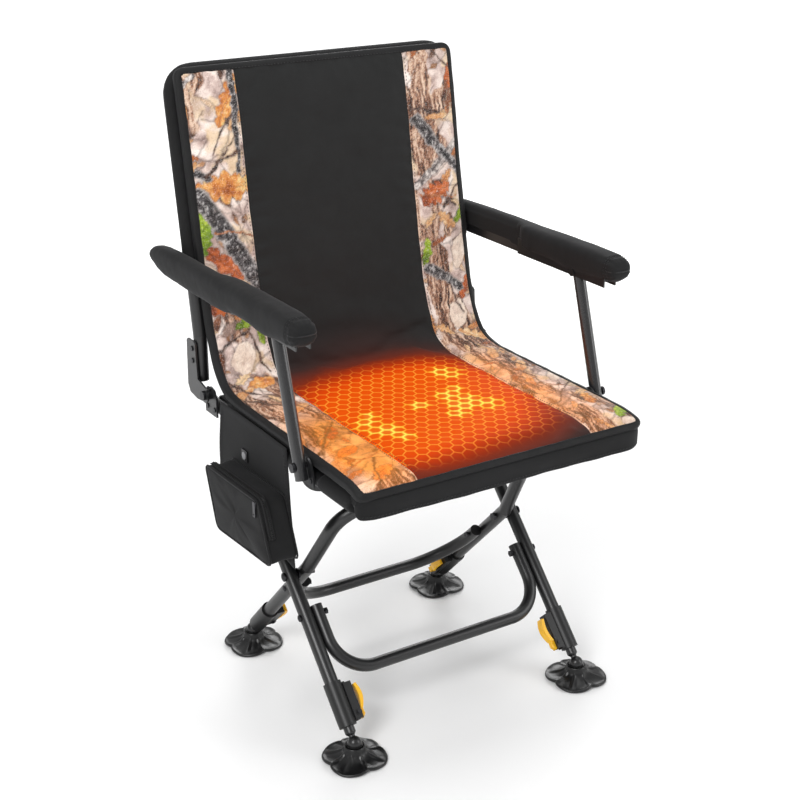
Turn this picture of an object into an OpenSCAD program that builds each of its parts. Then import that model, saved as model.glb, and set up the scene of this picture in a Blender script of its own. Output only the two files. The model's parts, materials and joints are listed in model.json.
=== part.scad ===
// Folding hunting-blind chair: X frame base, swivel seat, folding back with arms.
// +Z up, the front faces -Y, the sitter's left is +X,
// origin on the ground at the middle of the outline seen from above.

/* [Tubes] */
// Outside diameter of the frame tubes
tube_od = 22; // [20:0.5:22]
// Wall thickness of the frame tubes
tube_wall = 1.5; // [1:0.25:2]
// Outside diameter of the leg braces
brace_od = 20; // [18:0.5:20]
// Outside diameter of the arm posts
post_od = 19; // [17:0.5:19]

/* [Base] */
// Height of the cross pivot above the ground
cross_z = 225; // [223:0.5:227]
// Distance from the cross pivot to each foot ball
leg_len = 274; // [272:0.5:276]
// Corner radius of the lower front brace
front_brace_r = 60; // [50:1:80]
// Corner radius of the lower rear brace
rear_brace_r = 92; // [60:1:95]

/* [Seat and back] */
// Half width of the seat and back pads
pad_half = 247; // [230:1:247]
// Thickness of the seat pad core
seat_pad_t = 12.5; // [8:0.5:13]
// Thickness of the back pad core
back_pad_t = 13.5; // [8:0.5:14]

/* [Arms] */
// Outer face of the arm pads, from the middle plane
arm_outer = 292; // [286:1:296]
// Top of the arm pads
arm_top = 706; // [700:1:708]

/* [Feet] */
// Radius of the mud feet out to the lobes
foot_r = 50; // [44:1:51]
// Height of the lobes' wave
foot_lobe = 6; // [0:0.5:8]

/* [Hidden] */
$fn = 48;

// A leg is picked by its end and side; both are signs.
front = 1;
rear = -1;
left = 1;
right = -1;
sides = [right, left];

tube_r = tube_od / 2;
brace_r = brace_od / 2;
clearance = 0.05;      // running clearance on radius
gap = 0.05;            // between faces that lie on each other
straight_slim = 0.12;  // straights are this much slimmer in radius than their elbows

steel = [0.13, 0.13, 0.14];
black = [0.06, 0.06, 0.065];
bolt_grey = [0.35, 0.35, 0.37];
plate_grey = [0.42, 0.43, 0.45];
lever_yellow = [0.98, 0.75, 0.1];

// Pivots and other places seen from the side are (y, z).
cross_pivot = [0, cross_z];
back_pivot = [170, 480];            // the back folds about it
post_vector = [56, 184];            // back pivot to arm pivot, and along each post
arm_pivot = back_pivot + post_vector;
post_foot = [-140, 478];            // post's lower pivot
post_head = post_foot + post_vector;

// ---- Helpers ----
function unit(v) = v / norm(v);

module in_frame(origin, x, z) {
  y = cross(z, x);
  multmatrix([
    [x[0], y[0], z[0], origin[0]],
    [x[1], y[1], z[1], origin[1]],
    [x[2], y[2], z[2], origin[2]],
    [0, 0, 0, 1]]) children();
}

// straight round bar
module rod(from, to, r) {
  z = unit(to - from);
  x = unit(cross(abs(z[0]) > 0.9 ? [0, 1, 0] : [1, 0, 0], z));
  in_frame(from, x, z) cylinder(r = r, h = norm(to - from));
}

function corner_angle(points, i) =
  acos(unit(points[i - 1] - points[i]) * unit(points[i + 1] - points[i]));

// distance from corner i to the ends of its arc
function setback(points, bends, i) = bends[i] / tan(corner_angle(points, i) / 2);

module elbow(points, bends, i, r) {
  to_last = unit(points[i - 1] - points[i]);
  to_next = unit(points[i + 1] - points[i]);
  angle = corner_angle(points, i);
  centre = points[i] + unit(to_last + to_next) * bends[i] / sin(angle / 2);
  arc_start = points[i] + to_last * setback(points, bends, i) - centre;
  arc_end = points[i] + to_next * setback(points, bends, i) - centre;
  in_frame(centre, unit(arc_start), unit(cross(arc_start, arc_end)))
    rotate_extrude(angle = 180 - angle) translate([bends[i], 0]) circle(r = r);
}

// Round bar along points, with a centre-line bend radius for each, 0 for a slight kink.
// The straights run a little way into the elbows.
module bent_rod(points, bends, r) {
  overlap = 2;
  last = len(points) - 1;
  for (i = [0 : last - 1]) {
    along = unit(points[i + 1] - points[i]);
    from = i == 0 ? points[0] : points[i] + along * (setback(points, bends, i) - overlap);
    to = i == last - 1 ? points[last]
      : points[i + 1] - along * (setback(points, bends, i + 1) - overlap);
    rod(from, to, r - straight_slim);
    if (i < last - 1) {
      if (bends[i + 1] > 0) elbow(points, bends, i + 1, r);
      else translate(points[i + 1]) sphere(r = r + 0.1);
    }
  }
}

// the same points with both ends drawn out
function stretched(points, by) = let (last = len(points) - 1) [for (i = [0 : last])
  i == 0 ? points[0] + unit(points[0] - points[1]) * by
  : i == last ? points[i] + unit(points[i] - points[i - 1]) * by
  : points[i]];

module tube(points, bends, r, wall) difference() {
  bent_rod(points, bends, r);
  bent_rod(stretched(points, 1), bends, r - wall);
}

// outline in (y, z), drawn out along +X from x to x + t
module yz_plate(x, t) translate([x, 0, 0]) rotate([90, 0, 90]) linear_extrude(height = t) children();

// round bar along X between x0 and x1, at = (y, z)
module x_bar(x0, x1, at, r)
  translate([min(x0, x1), at[0], at[1]]) rotate([0, 90, 0]) cylinder(r = r, h = abs(x1 - x0));

// box from a [low, high] pair on each axis
module block(x, y, z)
  translate([x[0], y[0], z[0]]) cube([x[1] - x[0], y[1] - y[0], z[1] - z[0]]);

// children are drawn on the left and mirrored for the right
module on_side(side) {
  if (side > 0) children();
  else mirror([1, 0, 0]) children();
}
module both_sides() for (side = sides) on_side(side) children();

// running hole for a pin of radius r, on both sides
module side_holes(x0, x1, at, r)
  for (side = sides) x_bar(side * x0, side * x1, at, r + clearance);

// coaxial discs; each row of discs is [from x, to x, radius], with x counted from x0
module x_stack(x0, at, discs) for (disc = discs) x_bar(x0 + disc[0], x0 + disc[1], at, disc[2]);

module rounded_rect(w, h, r) {
  square([w - 2 * r, h], center = true);
  square([w, h - 2 * r], center = true);
  for (x = [-1, 1], y = [-1, 1]) translate([x * (w / 2 - r), y * (h / 2 - r)]) circle(r = r);
}

// through bolt: domed head outside x_out, hex nut inside x_in
module cross_bolt(x_in, x_out, at, r, head_r, head_h) {
  dome_r = head_r * 1.6;
  x_bar(x_in - 4, x_out, at, r);
  translate([x_out + gap, at[0], at[1]]) rotate([0, 90, 0]) intersection() {
    cylinder(r = head_r, h = head_h);
    translate([0, 0, head_h - dome_r]) sphere(r = dome_r);
  }
  x_bar(x_out - 0.5, x_out + 1, at, r);
  translate([x_in - 5, at[0], at[1]]) rotate([0, 90, 0]) difference() {
    cylinder(r = head_r, h = 5 - gap, $fn = 6);
    translate([0, 0, -3]) cylinder(r = 1, h = 4);
  }
}

// ---- Legs: places along a leg are distances down from the cross pivot ----
leg_ang = 46;          // legs' slope from the ground
front_leg_x = 211.5;   // half spacing of the tubes with the front feet
rear_leg_x = 188;      // half spacing of the tubes with the rear feet
bar_z = 362;           // height of both top bars
rear_frame_bar_y = -92;
front_frame_bar_y = (bar_z - cross_z) / tan(leg_ang);
kink_up = 20;          // the rear-leg tubes steepen this far above the pivot
leg_tube_end = 243.9;
brace_top = 56;
brace_bolt_down = 69;
pivot_r = 4;
brace_bolt_r = 3;

function leg_x(end) = end > 0 ? front_leg_x : rear_leg_x;
function leg_yz(end, down) = [-end * cos(leg_ang) * down, cross_z - sin(leg_ang) * down];
function leg_point(end, x, down) = concat([x], leg_yz(end, down));
function brace_x(end) = leg_x(end) - tube_r - brace_r - 0.1;

// a leg's own frame: Z runs down the leg from the cross pivot, X stays the chair's X
module on_leg(end, side)
  translate([side * leg_x(end), 0, cross_z]) rotate([end * (90 + leg_ang), 0, 0]) children();

module leg_frame(end, points, bends) color(steel) difference() {
  tube(points, bends, tube_r, tube_wall);
  side_holes(leg_x(end) - 20, leg_x(end) + 20, cross_pivot, pivot_r);
  side_holes(leg_x(end) - 20, leg_x(end) + 20, leg_yz(end, brace_bolt_down), brace_bolt_r);
}
module rear_leg_frame() leg_frame(rear, [
  leg_point(rear, -rear_leg_x, leg_tube_end),
  leg_point(rear, -rear_leg_x, -kink_up),
  [-170, rear_frame_bar_y, bar_z],
  [170, rear_frame_bar_y, bar_z],
  leg_point(rear, rear_leg_x, -kink_up),
  leg_point(rear, rear_leg_x, leg_tube_end)], [0, 0, 52, 52, 0, 0]);
module front_leg_frame() leg_frame(front, [
  leg_point(front, -front_leg_x, leg_tube_end),
  [-front_leg_x, front_frame_bar_y, bar_z],
  [front_leg_x, front_frame_bar_y, bar_z],
  leg_point(front, front_leg_x, leg_tube_end)], [0, 70, 70, 0]);

// U-shaped tube between the legs of one frame, its upper ends closed
module leg_brace(end, bottom, bend) color(steel) difference() {
  x = brace_x(end);
  union() {
    tube([leg_point(end, -x, brace_top), leg_point(end, -x, bottom),
      leg_point(end, x, bottom), leg_point(end, x, brace_top)], [0, bend, bend, 0],
      brace_r, tube_wall);
    for (side = sides)
      rod(leg_point(end, side * x, brace_top), leg_point(end, side * x, brace_top + 2), brace_r);
  }
  side_holes(x - 15, x + 15, leg_yz(end, brace_bolt_down), brace_bolt_r);
}
module rear_leg_brace() leg_brace(rear, bottom = 161, bend = rear_brace_r);
module front_leg_brace() leg_brace(front, bottom = 171, bend = front_brace_r);

// nut_gap: from two tube radii and two brace radii to the nut's side of the joint
module brace_bolts(end, nut_gap, head_h) color(bolt_grey) both_sides()
  cross_bolt(leg_x(end) - tube_r - brace_od - nut_gap, leg_x(end) + tube_r,
    leg_yz(end, brace_bolt_down), brace_bolt_r, head_r = 5.5, head_h = head_h);
module rear_brace_bolts() brace_bolts(rear, nut_gap = 0.3, head_h = 2.6);
module front_brace_bolts() brace_bolts(front, nut_gap = 0.1, head_h = 3.5);

// bolts, nuts and spacing washers of the cross pivot
module leg_pivot_bolts() color(bolt_grey) both_sides() {
  cross_bolt(rear_leg_x - tube_r, front_leg_x + tube_r, cross_pivot, pivot_r,
    head_r = 7, head_h = 4.5);
  x_bar(rear_leg_x + tube_r + gap, front_leg_x - tube_r - gap, cross_pivot, 9);
}

// ---- Leg clamps, levers and rods, drawn in the leg's frame ----
lever_pin_in = 21.5;     // lever pin, inwards from the leg's axis
lever_pin_down = 233;
lever_pin_r = 2;
lever_pin_len = 21.2;
leg_rod_r = 8.5;
ball_r = 11;

// box centred inwards of the leg's axis
module inner_box(side, inwards, down, size)
  translate([-side * inwards - size[0] / 2, -size[1] / 2, down]) cube(size);
// disc or bar on the lever pin's axis, from y to y + h
module on_pin_axis(side, y, h, r)
  translate([-side * lever_pin_in, y, lever_pin_down]) rotate([-90, 0, 0]) cylinder(r = r, h = h);
module lever_pin_hole(side) on_pin_axis(side, -12, 24, lever_pin_r + clearance);

// sleeve over the tube, guide bush for the rod, and the lever's housing on the inner side
module leg_clamps(end) color(black) for (side = sides) on_leg(end, side) difference() {
  union() {
    translate([0, 0, 178]) cylinder(r = 14, h = 70);
    inner_box(side, 19.5, 184, [13, 18, 59]);
    inner_box(side, 12, 182, [10, 14, 63]);
    for (y = [-9.8, 9]) on_pin_axis(side, y, 0.8, 5);
  }
  translate([0, 0, 177]) cylinder(r = tube_r + 0.02, h = 67);
  translate([0, 0, 243]) cylinder(r = leg_rod_r + clearance, h = 7);
  inner_box(side, lever_pin_in, 222.5, [12, 8.4, 22.5]);
  inner_box(side, 26, 189, [3, 12.8, 30]);
  lever_pin_hole(side);
}
module rear_leg_clamps() leg_clamps(rear);
module front_leg_clamps() leg_clamps(front);

module lever_pins(end) color(bolt_grey) for (side = sides) on_leg(end, side) {
  head_t = 0.8;
  on_pin_axis(side, -lever_pin_len / 2, lever_pin_len, lever_pin_r);
  for (y = [-lever_pin_len / 2 - head_t, lever_pin_len / 2]) on_pin_axis(side, y, head_t, 3);
}
module rear_lever_pins() lever_pins(rear);
module front_lever_pins() lever_pins(front);

// outlines of the lever are (inwards from the leg's axis, down the leg)
lever_root = [[21.5, 227.8], [27.2, 224], [32, 222], [33, 238], [27.5, 243.5], [21.5, 238.2]];
function grip_edge(t, inwards, bow, down, length) =
  [inwards + bow * sin(180 * t) + 2.2 * (1 - t), down + length * t];
lever_grip = concat(
  [for (t = [0 : 0.1 : 1]) grip_edge(t, inwards = 27.3, bow = 3.41, down = 190, length = 38.5)],
  [for (t = [1 : -0.1 : 0]) grip_edge(t, inwards = 31.6, bow = 5.55, down = 189, length = 39.5)]);

module lever_slab(side, width, outline) on_side(-side)
  translate([0, width / 2, 0]) rotate([90, 0, 0]) linear_extrude(height = width) polygon(outline);
module lever(end, side) color(lever_yellow) on_leg(end, side) difference() {
  union() {
    on_pin_axis(side, -4, 8, 5.2);
    lever_slab(side, 8, lever_root);
    lever_slab(side, 15, lever_grip);
  }
  lever_pin_hole(side);
}
module lever_front_left() lever(front, left);
module lever_front_right() lever(front, right);
module lever_rear_left() lever(rear, left);
module lever_rear_right() lever(rear, right);

// half section of the extending rod as (radius, down): chamfer, grooves, neck
groove_floor_r = 7.6;
neck_end = leg_len - 8;
rod_section = concat(
  [[0, 90], [8, 90], [leg_rod_r, 91]],
  [for (i = [0 : 21]) each let (z = 98 + i * 7)
    [[leg_rod_r, z], [groove_floor_r, z + 1], [groove_floor_r, z + 2.2], [leg_rod_r, z + 3.2]]],
  [[leg_rod_r, 258], [7, 260], [5, 262], [5, neck_end], [0, neck_end]]);

module leg_rod(end, side) color(steel) on_leg(end, side) {
  rotate_extrude() polygon(rod_section);
  translate([0, 0, leg_len]) sphere(r = ball_r);
}
module leg_rod_front_left() leg_rod(front, left);
module leg_rod_front_right() leg_rod(front, right);
module leg_rod_rear_left() leg_rod(rear, left);
module leg_rod_rear_right() leg_rod(rear, right);

// ---- Feet ----
liner_r = 13;
function ball_centre(end, side) = leg_point(end, side * leg_x(end), leg_len);

// plastic cup between the ball and the foot's socket
module ball_liner(end, side) color([0.2, 0.2, 0.2]) translate(ball_centre(end, side)) difference() {
  sphere(r = liner_r);
  sphere(r = ball_r + clearance);
  translate([-20, -20, -1.5]) cube(40);
}
module ball_liner_front_left() ball_liner(front, left);
module ball_liner_front_right() ball_liner(front, right);
module ball_liner_rear_left() ball_liner(rear, left);
module ball_liner_rear_right() ball_liner(rear, right);

// four-lobed mud foot with ribs around a socket hub
foot_outline = [for (i = [0 : 5 : 355])
  (foot_r - foot_lobe * (1 - cos(4 * i)) / 2) * [cos(i + 45), sin(i + 45)]];
module foot(end, side) color(black) {
  ball = ball_centre(end, side);
  translate([ball[0], ball[1], 0]) difference() {
    union() {
      linear_extrude(height = 3) polygon(foot_outline);
      translate([0, 0, 2.9]) cylinder(r1 = foot_r - foot_lobe - 2, r2 = 20, h = 9);
      translate([0, 0, 2]) cylinder(r = 16.5, h = ball[2] - 4.5);
      for (a = [0 : 45 : 315]) rotate([0, 0, a]) block([14, 40], [-1.2, 1.2], [2, 9.5]);
    }
    translate([0, 0, ball[2]]) sphere(r = liner_r + clearance);
  }
}
module foot_front_left() foot(front, left);
module foot_front_right() foot(front, right);
module foot_rear_left() foot(rear, left);
module foot_rear_right() foot(rear, right);

// ---- Swivel: plates, bearing and bolt stacked upwards ----
swivel_plate_t = 3.9;
race_h = 5.4;
race_gap = 0.6;              // between the two races
race_mid_r = 46;
bearing_ball_r = 3;
swivel_bolt_r = 6;
swivel_head_r = 10;
lower_plate_z = 375.5;       // underside of the lower plate
lower_race_z = lower_plate_z + swivel_plate_t + gap;
bearing_ball_z = lower_race_z + race_h + race_gap / 2;
upper_race_z = lower_race_z + race_h + race_gap;
upper_plate_z = upper_race_z + race_h + gap;

module swivel_plate(z, mid_y, width, depth, hole_ys, hole_r) color(steel) difference() {
  translate([0, mid_y, z]) linear_extrude(height = swivel_plate_t) rounded_rect(width, depth, 14);
  translate([0, 0, z - 1]) cylinder(r = swivel_bolt_r + clearance, h = 6);
  for (x = [-60, 60], y = hole_ys) translate([x, y, z - 1]) cylinder(r = hole_r, h = 6);
}
module swivel_lower_plate() swivel_plate(lower_plate_z,
  mid_y = (rear_frame_bar_y + front_frame_bar_y) / 2, width = 190,
  depth = front_frame_bar_y - rear_frame_bar_y + 34, hole_ys = [-48, 84], hole_r = 10);
module swivel_upper_plate() swivel_plate(upper_plate_z,
  mid_y = 0, width = 170, depth = 190, hole_ys = [-40, 40], hole_r = 9);

clip_x = 76;         // middle of each saddle and hook
clip_half = 15;
// ring round a top bar with a flat pad under the lower plate
module top_bar_clip(side, bar_y, pad_y) {
  x = side * clip_x;
  x_bar(x - clip_half, x + clip_half, [bar_y, bar_z], 13.4);
  block([x - clip_half, x + clip_half], pad_y, [lower_plate_z - 2.6, lower_plate_z - gap]);
}
module top_bar_bore(side, bar_y, r)
  x_bar(side * clip_x - clip_half - 1, side * clip_x + clip_half + 1, [bar_y, bar_z], r);

// straps round the rear-leg frame's top bar: they are the seat-lift hinge
module frame_saddles() color(steel) for (side = sides) difference() {
  union() top_bar_clip(side, rear_frame_bar_y, [rear_frame_bar_y - 17, rear_frame_bar_y + 17]);
  top_bar_bore(side, rear_frame_bar_y, tube_r - straight_slim + clearance);
}
// hooks on the front-leg frame's top bar, open below and towards the front
module frame_hooks() color(steel) for (side = sides) difference() {
  bar_y = front_frame_bar_y;
  cut_x = side * clip_x - clip_half - 1;
  union() top_bar_clip(side, bar_y, [bar_y - 14, bar_y + 16]);
  top_bar_bore(side, bar_y, tube_r + 0.4);
  translate([cut_x, bar_y - 30, bar_z - 30]) cube([32, 60, 26]);
  translate([cut_x, bar_y, bar_z])
    rotate([-30, 0, 0]) translate([0, -40, -36]) cube([32, 40, 36]);
}

module bearing_race(z) color(bolt_grey) difference() {
  translate([0, 0, z]) cylinder(r = 58, h = race_h);
  translate([0, 0, z - 1]) cylinder(r = 34, h = 8);
  translate([0, 0, bearing_ball_z]) rotate_extrude()
    translate([race_mid_r, 0]) circle(r = bearing_ball_r + clearance, $fn = 32);
}
module bearing_lower_race() bearing_race(lower_race_z);
module bearing_upper_race() bearing_race(upper_race_z);
module bearing_balls() color([0.7, 0.7, 0.72]) for (a = [0 : 22.5 : 337.5])
  rotate([0, 0, a]) translate([race_mid_r, 0, bearing_ball_z]) sphere(r = bearing_ball_r);

module swivel_bolt() color(bolt_grey) {
  bottom = lower_plate_z - 5;
  plate_top = upper_plate_z + swivel_plate_t;
  translate([0, 0, bottom]) cylinder(r = swivel_bolt_r, h = plate_top + 8 - bottom);
  translate([0, 0, lower_plate_z - 7]) cylinder(r = swivel_head_r, h = 7 - gap);
  translate([0, 0, plate_top + 0.1]) cylinder(r = swivel_head_r, h = 6, $fn = 6);
}

// ---- Seat ----
seat_x = 240;          // side tubes' half spacing
seat_z = 457;          // side tubes' height
cross_bar_r = 10;
cross_bar_z = upper_plate_z + swivel_plate_t + gap + cross_bar_r;
side_plate_t = 3;
plate_x = seat_x + tube_r + 0.3;     // inner face of the seat's side plates
rivet_r = 2.5;
pivot_bolt_r = 4;
hinge_rivets = [[158, seat_z], [182, seat_z]];
bracket_rivets = [[-152, seat_z], [-128, seat_z]];
seat_rivets = concat(hinge_rivets, bracket_rivets);

module seat_cross_bars() color(steel) for (y = [-72, 72]) difference() {
  tube([[-232, y, 450], [-206, y, cross_bar_z], [206, y, cross_bar_z], [232, y, 450]],
    [0, 26, 26, 0], cross_bar_r, tube_wall);
  for (side = sides) translate([side * seat_x, y - 30, seat_z])
    rotate([-90, 0, 0]) cylinder(r = tube_r + 0.02, h = 60);
}
module seat_frame() color(steel) difference() {
  tube([[-seat_x, 192, seat_z], [-seat_x, -262, seat_z],
    [seat_x, -262, seat_z], [seat_x, 192, seat_z]], [0, 40, 40, 0], tube_r, tube_wall);
  for (at = seat_rivets) side_holes(seat_x + 4, seat_x + 16, at, rivet_r);
}

// plates on both sides from x outwards, with a round boss at the pivot and rivet holes
module side_plates(x, outline, pivot, boss_r, rivets) color(plate_grey) both_sides() difference() {
  union() {
    yz_plate(x, side_plate_t) polygon(outline);
    x_bar(x, x + side_plate_t, pivot, boss_r);
  }
  x_bar(x - 1, x + 5, pivot, pivot_bolt_r + clearance);
  for (at = rivets) x_bar(x - 1, x + 5, at, rivet_r + clearance);
}
module seat_hinge_plates() side_plates(plate_x,
  [[151, 446], [190, 446], [191, 476], [183, 489], [160, 490], [151, 478]],
  back_pivot, boss_r = 12, rivets = hinge_rivets);
module post_brackets() side_plates(plate_x,
  [[-160, 447], [-120, 447], [-122, 466], [-129, 484], [-151, 484], [-158, 466]],
  post_foot, boss_r = 11, rivets = bracket_rivets);

// shank from inside the tube at tube_x through the side plate at x, with a flat head
module rivet(tube_x, x, at, head_out, head_r) {
  face = x + side_plate_t;
  x_bar(tube_x + 6, face + 0.1, at, rivet_r);
  x_bar(face + gap, face + head_out, at, head_r);
}
// rivets of the plates, and the pivot bolts of the back and of the posts
module seat_bolts() color(bolt_grey) both_sides() {
  for (at = seat_rivets) rivet(seat_x, plate_x, at, head_out = 1.6, head_r = 4);
  x_stack(plate_x, back_pivot,
    [[-3, 17, pivot_bolt_r], [-3.5, -gap, 7], [14, 18, 7.5], [3.05, 10.8, 8]]);
  x_stack(plate_x, post_foot, [[-3, 25, pivot_bolt_r], [-3.5, -gap, 7], [23.5, 27.5, 7]]);
}

// rectangle with cut corners
module seat_sling() color(black) {
  half = 228.6;
  front_y = -250;
  rear_y = 184;
  cut = 42;
  translate([0, 0, 466]) linear_extrude(height = 4.4) polygon([
    [half - cut, front_y], [half, front_y + cut], [half, rear_y - cut], [half - cut, rear_y],
    [cut - half, rear_y], [-half, rear_y - cut], [-half, front_y + cut], [cut - half, front_y]]);
}
module front_hem() color(black)
  block([2 - pad_half, pad_half - 2], [-279.5, -273.5], [441, 470.7]);
module heater_pad() color([0.5, 0.12, 0.05]) block([-140, 140], [-240, 100], [470.8, 472.3]);
module seat_pad() color([0.2, 0.12, 0.1])
  translate([0, -63, 472.4]) linear_extrude(height = seat_pad_t) rounded_rect(2 * pad_half, 426, 14);

// ---- Side panel, pocket and heater button, on the sitter's right; outlines are (y, z) ----
panel_x = -plate_x - 2;        // outer face of the panel
pocket_x = -300;               // outer face of the pocket
on_panel_x = panel_x - 0.1;    // inner face of what lies on the panel
button_at = [54, 419];
button_r = 6;
case_half = 9;

module side_panel() color(black) yz_plate(panel_x, 1.9) polygon([
  [138, 480], [-79, 480], [-79, 446], [-84, 400], [-90, 340],
  [-95, 289], [-60, 296], [30, 296], [150, 300], [150, 470]]);
module pocket() color(black) yz_plate(pocket_x, on_panel_x - pocket_x) polygon([
  [103, 393], [98, 397], [-66, 403], [-73, 400], [-107, 320], [-104, 313], [64, 302], [72, 305]]);
module button_case() color(black) difference() {
  block([on_panel_x - 3.1, on_panel_x],
    [button_at[0] - case_half, button_at[0] + case_half],
    [button_at[1] - case_half, button_at[1] + case_half]);
  x_bar(panel_x - 4, panel_x - 1.4, button_at, button_r + clearance);
}
module heater_button() color([0.75, 0.75, 0.75])
  x_bar(panel_x - 4.4, panel_x - 2.8, button_at, button_r);
module zip_pull() color([0.3, 0.3, 0.3]) difference() {
  block([pocket_x - 3.2, pocket_x - 1], [-70, -63], [378, 402]);
  x_bar(pocket_x - 4, pocket_x, [-66.5, 382], 1.6);
}

// ---- Back ----
back_x = 251;                           // half spacing of the tubes' lower part
back_plate_x = back_x + tube_r + 0.2;   // inner face of the hinge plates
back_rivets = [[207, 527], [207, 547]];
back_path = [[-back_x, 205, 493], [-back_x, 205, 565], [-246, 280.8, 962],
  [246, 280.8, 962], [back_x, 205, 565], [back_x, 205, 493]];

module back_frame() color(steel) difference() {
  tube(back_path, [0, 0, 34, 34, 0, 0], tube_r, tube_wall);
  for (at = back_rivets) side_holes(back_x + 4, back_x + 17, at, rivet_r);
  side_holes(back_x - 15, back_x + 17, arm_pivot, pivot_bolt_r);
}
module back_hinge_plates() side_plates(back_plate_x,
  [[163, 470], [197, 466], [222, 470], [229, 482], [226, 556],
    [222, 560], [200, 560], [196, 556], [192, 500], [160, 492]],
  back_pivot, boss_r = 12, rivets = back_rivets);
// screws of the plates and the arms' rear pivot bolts
module back_bolts() color(bolt_grey) both_sides() {
  for (at = back_rivets) rivet(back_x, back_plate_x, at, head_out = 1.8, head_r = 4.2);
  x_stack(0, arm_pivot,
    [[237, 279.5, pivot_bolt_r], [277.2, 281.5, 7.5], [261.3, 263.3, 8], [235, 238.4, 7]]);
}

lean = 10.6;
pad_foot = [181, 590];     // lower edge of the back pad's front face
// (y, z) of a point some way up the leaning pad and behind its front face
function back_point(up, behind) =
  pad_foot + [sin(lean), cos(lean)] * up + [cos(lean), -sin(lean)] * behind;
module back_pad() color([0.1, 0.1, 0.1]) yz_plate(-pad_half, 2 * pad_half) polygon([
  back_point(0, 0), back_point(300, 0), back_point(384, 2),
  back_point(384, 2 + back_pad_t), back_point(300, back_pad_t), back_point(0, back_pad_t)]);
module back_sling() color(black) yz_plate(-234.5, 469) polygon([
  back_point(-66, 19), back_point(0, 14.2), back_point(355, 16),
  back_point(355, 24), back_point(0, 26), back_point(-66, 27)]);

// ---- Arms ----
split_y = 60;          // the rail is a channel in front of this and a bar behind
rail_outer = 277;
rail_top = 683;
rail_pin_r = 3.5;

// the post's head takes the pin that crosses the channel
module rail_pin() x_bar(250.6, 279.4, post_head, rail_pin_r);
module arm_rail(side) color(steel) on_side(side) difference() {
  union() {
    block([263.4, rail_outer], [split_y - 30, 285], [655, rail_top]);
    block([253, rail_outer], [-160, split_y], [657, rail_top]);
    rail_pin();
    x_bar(250.2, 253.1, post_head, 6);
    x_bar(276.9, 279.8, post_head, 6);
  }
  difference() {
    block([255.1, 274.9], [-161, split_y - 11], [650, 680.8]);
    rail_pin();
  }
  x_bar(262, 279, arm_pivot, pivot_bolt_r + clearance);
}
module arm_rail_left() arm_rail(left);
module arm_rail_right() arm_rail(right);

module arm_pad(side) color(black) on_side(side) difference() {
  union() {
    block([249.5, arm_outer], [-178, split_y], [662, arm_top]);
    block([263.4, arm_outer], [split_y - 20, 280 + 20], [664, arm_top - 2]);
  }
  block([252.9, 277.2], [-162, split_y + 1], [640, rail_top + 0.1]);
  block([263.3, 277.2], [split_y - 60, 287], [640, rail_top + 0.1]);
  x_bar(249, 290, arm_pivot, 8.5);
  x_bar(249, 282, post_head, 7);
}
module arm_pad_left() arm_pad(left);
module arm_pad_right() arm_pad(right);

// post: a tube whose lower end hangs below its pivot; its top takes the rail's pin with play
function post_point(up) = concat([265], post_foot + unit(post_vector) * up);
module arm_post(side) color([0.2, 0.2, 0.21]) on_side(side) difference() {
  tube([post_point(-20), post_point(norm(post_vector) + 8)], [0, 0], post_od / 2, 1.4);
  x_bar(250, 280, post_foot, pivot_bolt_r + clearance);
  x_bar(250, 280, post_head, 4.3);
}
module arm_post_left() arm_post(left);
module arm_post_right() arm_post(right);

// Parts are drawn about the swivel axis; this moves the outline's middle to the origin.
module placed() translate([5.6, -10.25, 0]) children();

placed() rear_leg_frame();
placed() rear_leg_brace();
placed() rear_brace_bolts();
placed() leg_pivot_bolts();
placed() rear_leg_clamps();
placed() rear_lever_pins();
placed() front_leg_frame();
placed() front_leg_brace();
placed() front_brace_bolts();
placed() front_leg_clamps();
placed() front_lever_pins();
placed() leg_rod_front_left();
placed() leg_rod_front_right();
placed() leg_rod_rear_left();
placed() leg_rod_rear_right();
placed() lever_front_left();
placed() lever_front_right();
placed() lever_rear_left();
placed() lever_rear_right();
placed() ball_liner_front_left();
placed() ball_liner_front_right();
placed() ball_liner_rear_left();
placed() ball_liner_rear_right();
placed() foot_front_left();
placed() foot_front_right();
placed() foot_rear_left();
placed() foot_rear_right();
placed() swivel_lower_plate();
placed() frame_saddles();
placed() frame_hooks();
placed() bearing_lower_race();
placed() bearing_balls();
placed() swivel_bolt();
placed() bearing_upper_race();
placed() swivel_upper_plate();
placed() seat_cross_bars();
placed() seat_frame();
placed() seat_hinge_plates();
placed() post_brackets();
placed() seat_bolts();
placed() seat_sling();
placed() front_hem();
placed() heater_pad();
placed() seat_pad();
placed() side_panel();
placed() pocket();
placed() button_case();
placed() heater_button();
placed() zip_pull();
placed() back_frame();
placed() back_hinge_plates();
placed() back_bolts();
placed() back_sling();
placed() back_pad();
placed() arm_rail_left();
placed() arm_rail_right();
placed() arm_pad_left();
placed() arm_pad_right();
placed() arm_post_left();
placed() arm_post_right();
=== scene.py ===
# Swivel chair with a printed seat-and-back pad over cloth slings, covered arm pads, four feet,
# and a cloth panel with a zipped pocket under its right side. The pad's middle glows as if hot.
# Metres, +Z up. The front faces -Y, the chair's left is +X. The drawn pieces are laid out in
# millimetres about the swivel axis and are moved onto it at the end.
import bpy, bmesh, json, math
import numpy as np
from mathutils import Matrix, Vector, noise


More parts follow.
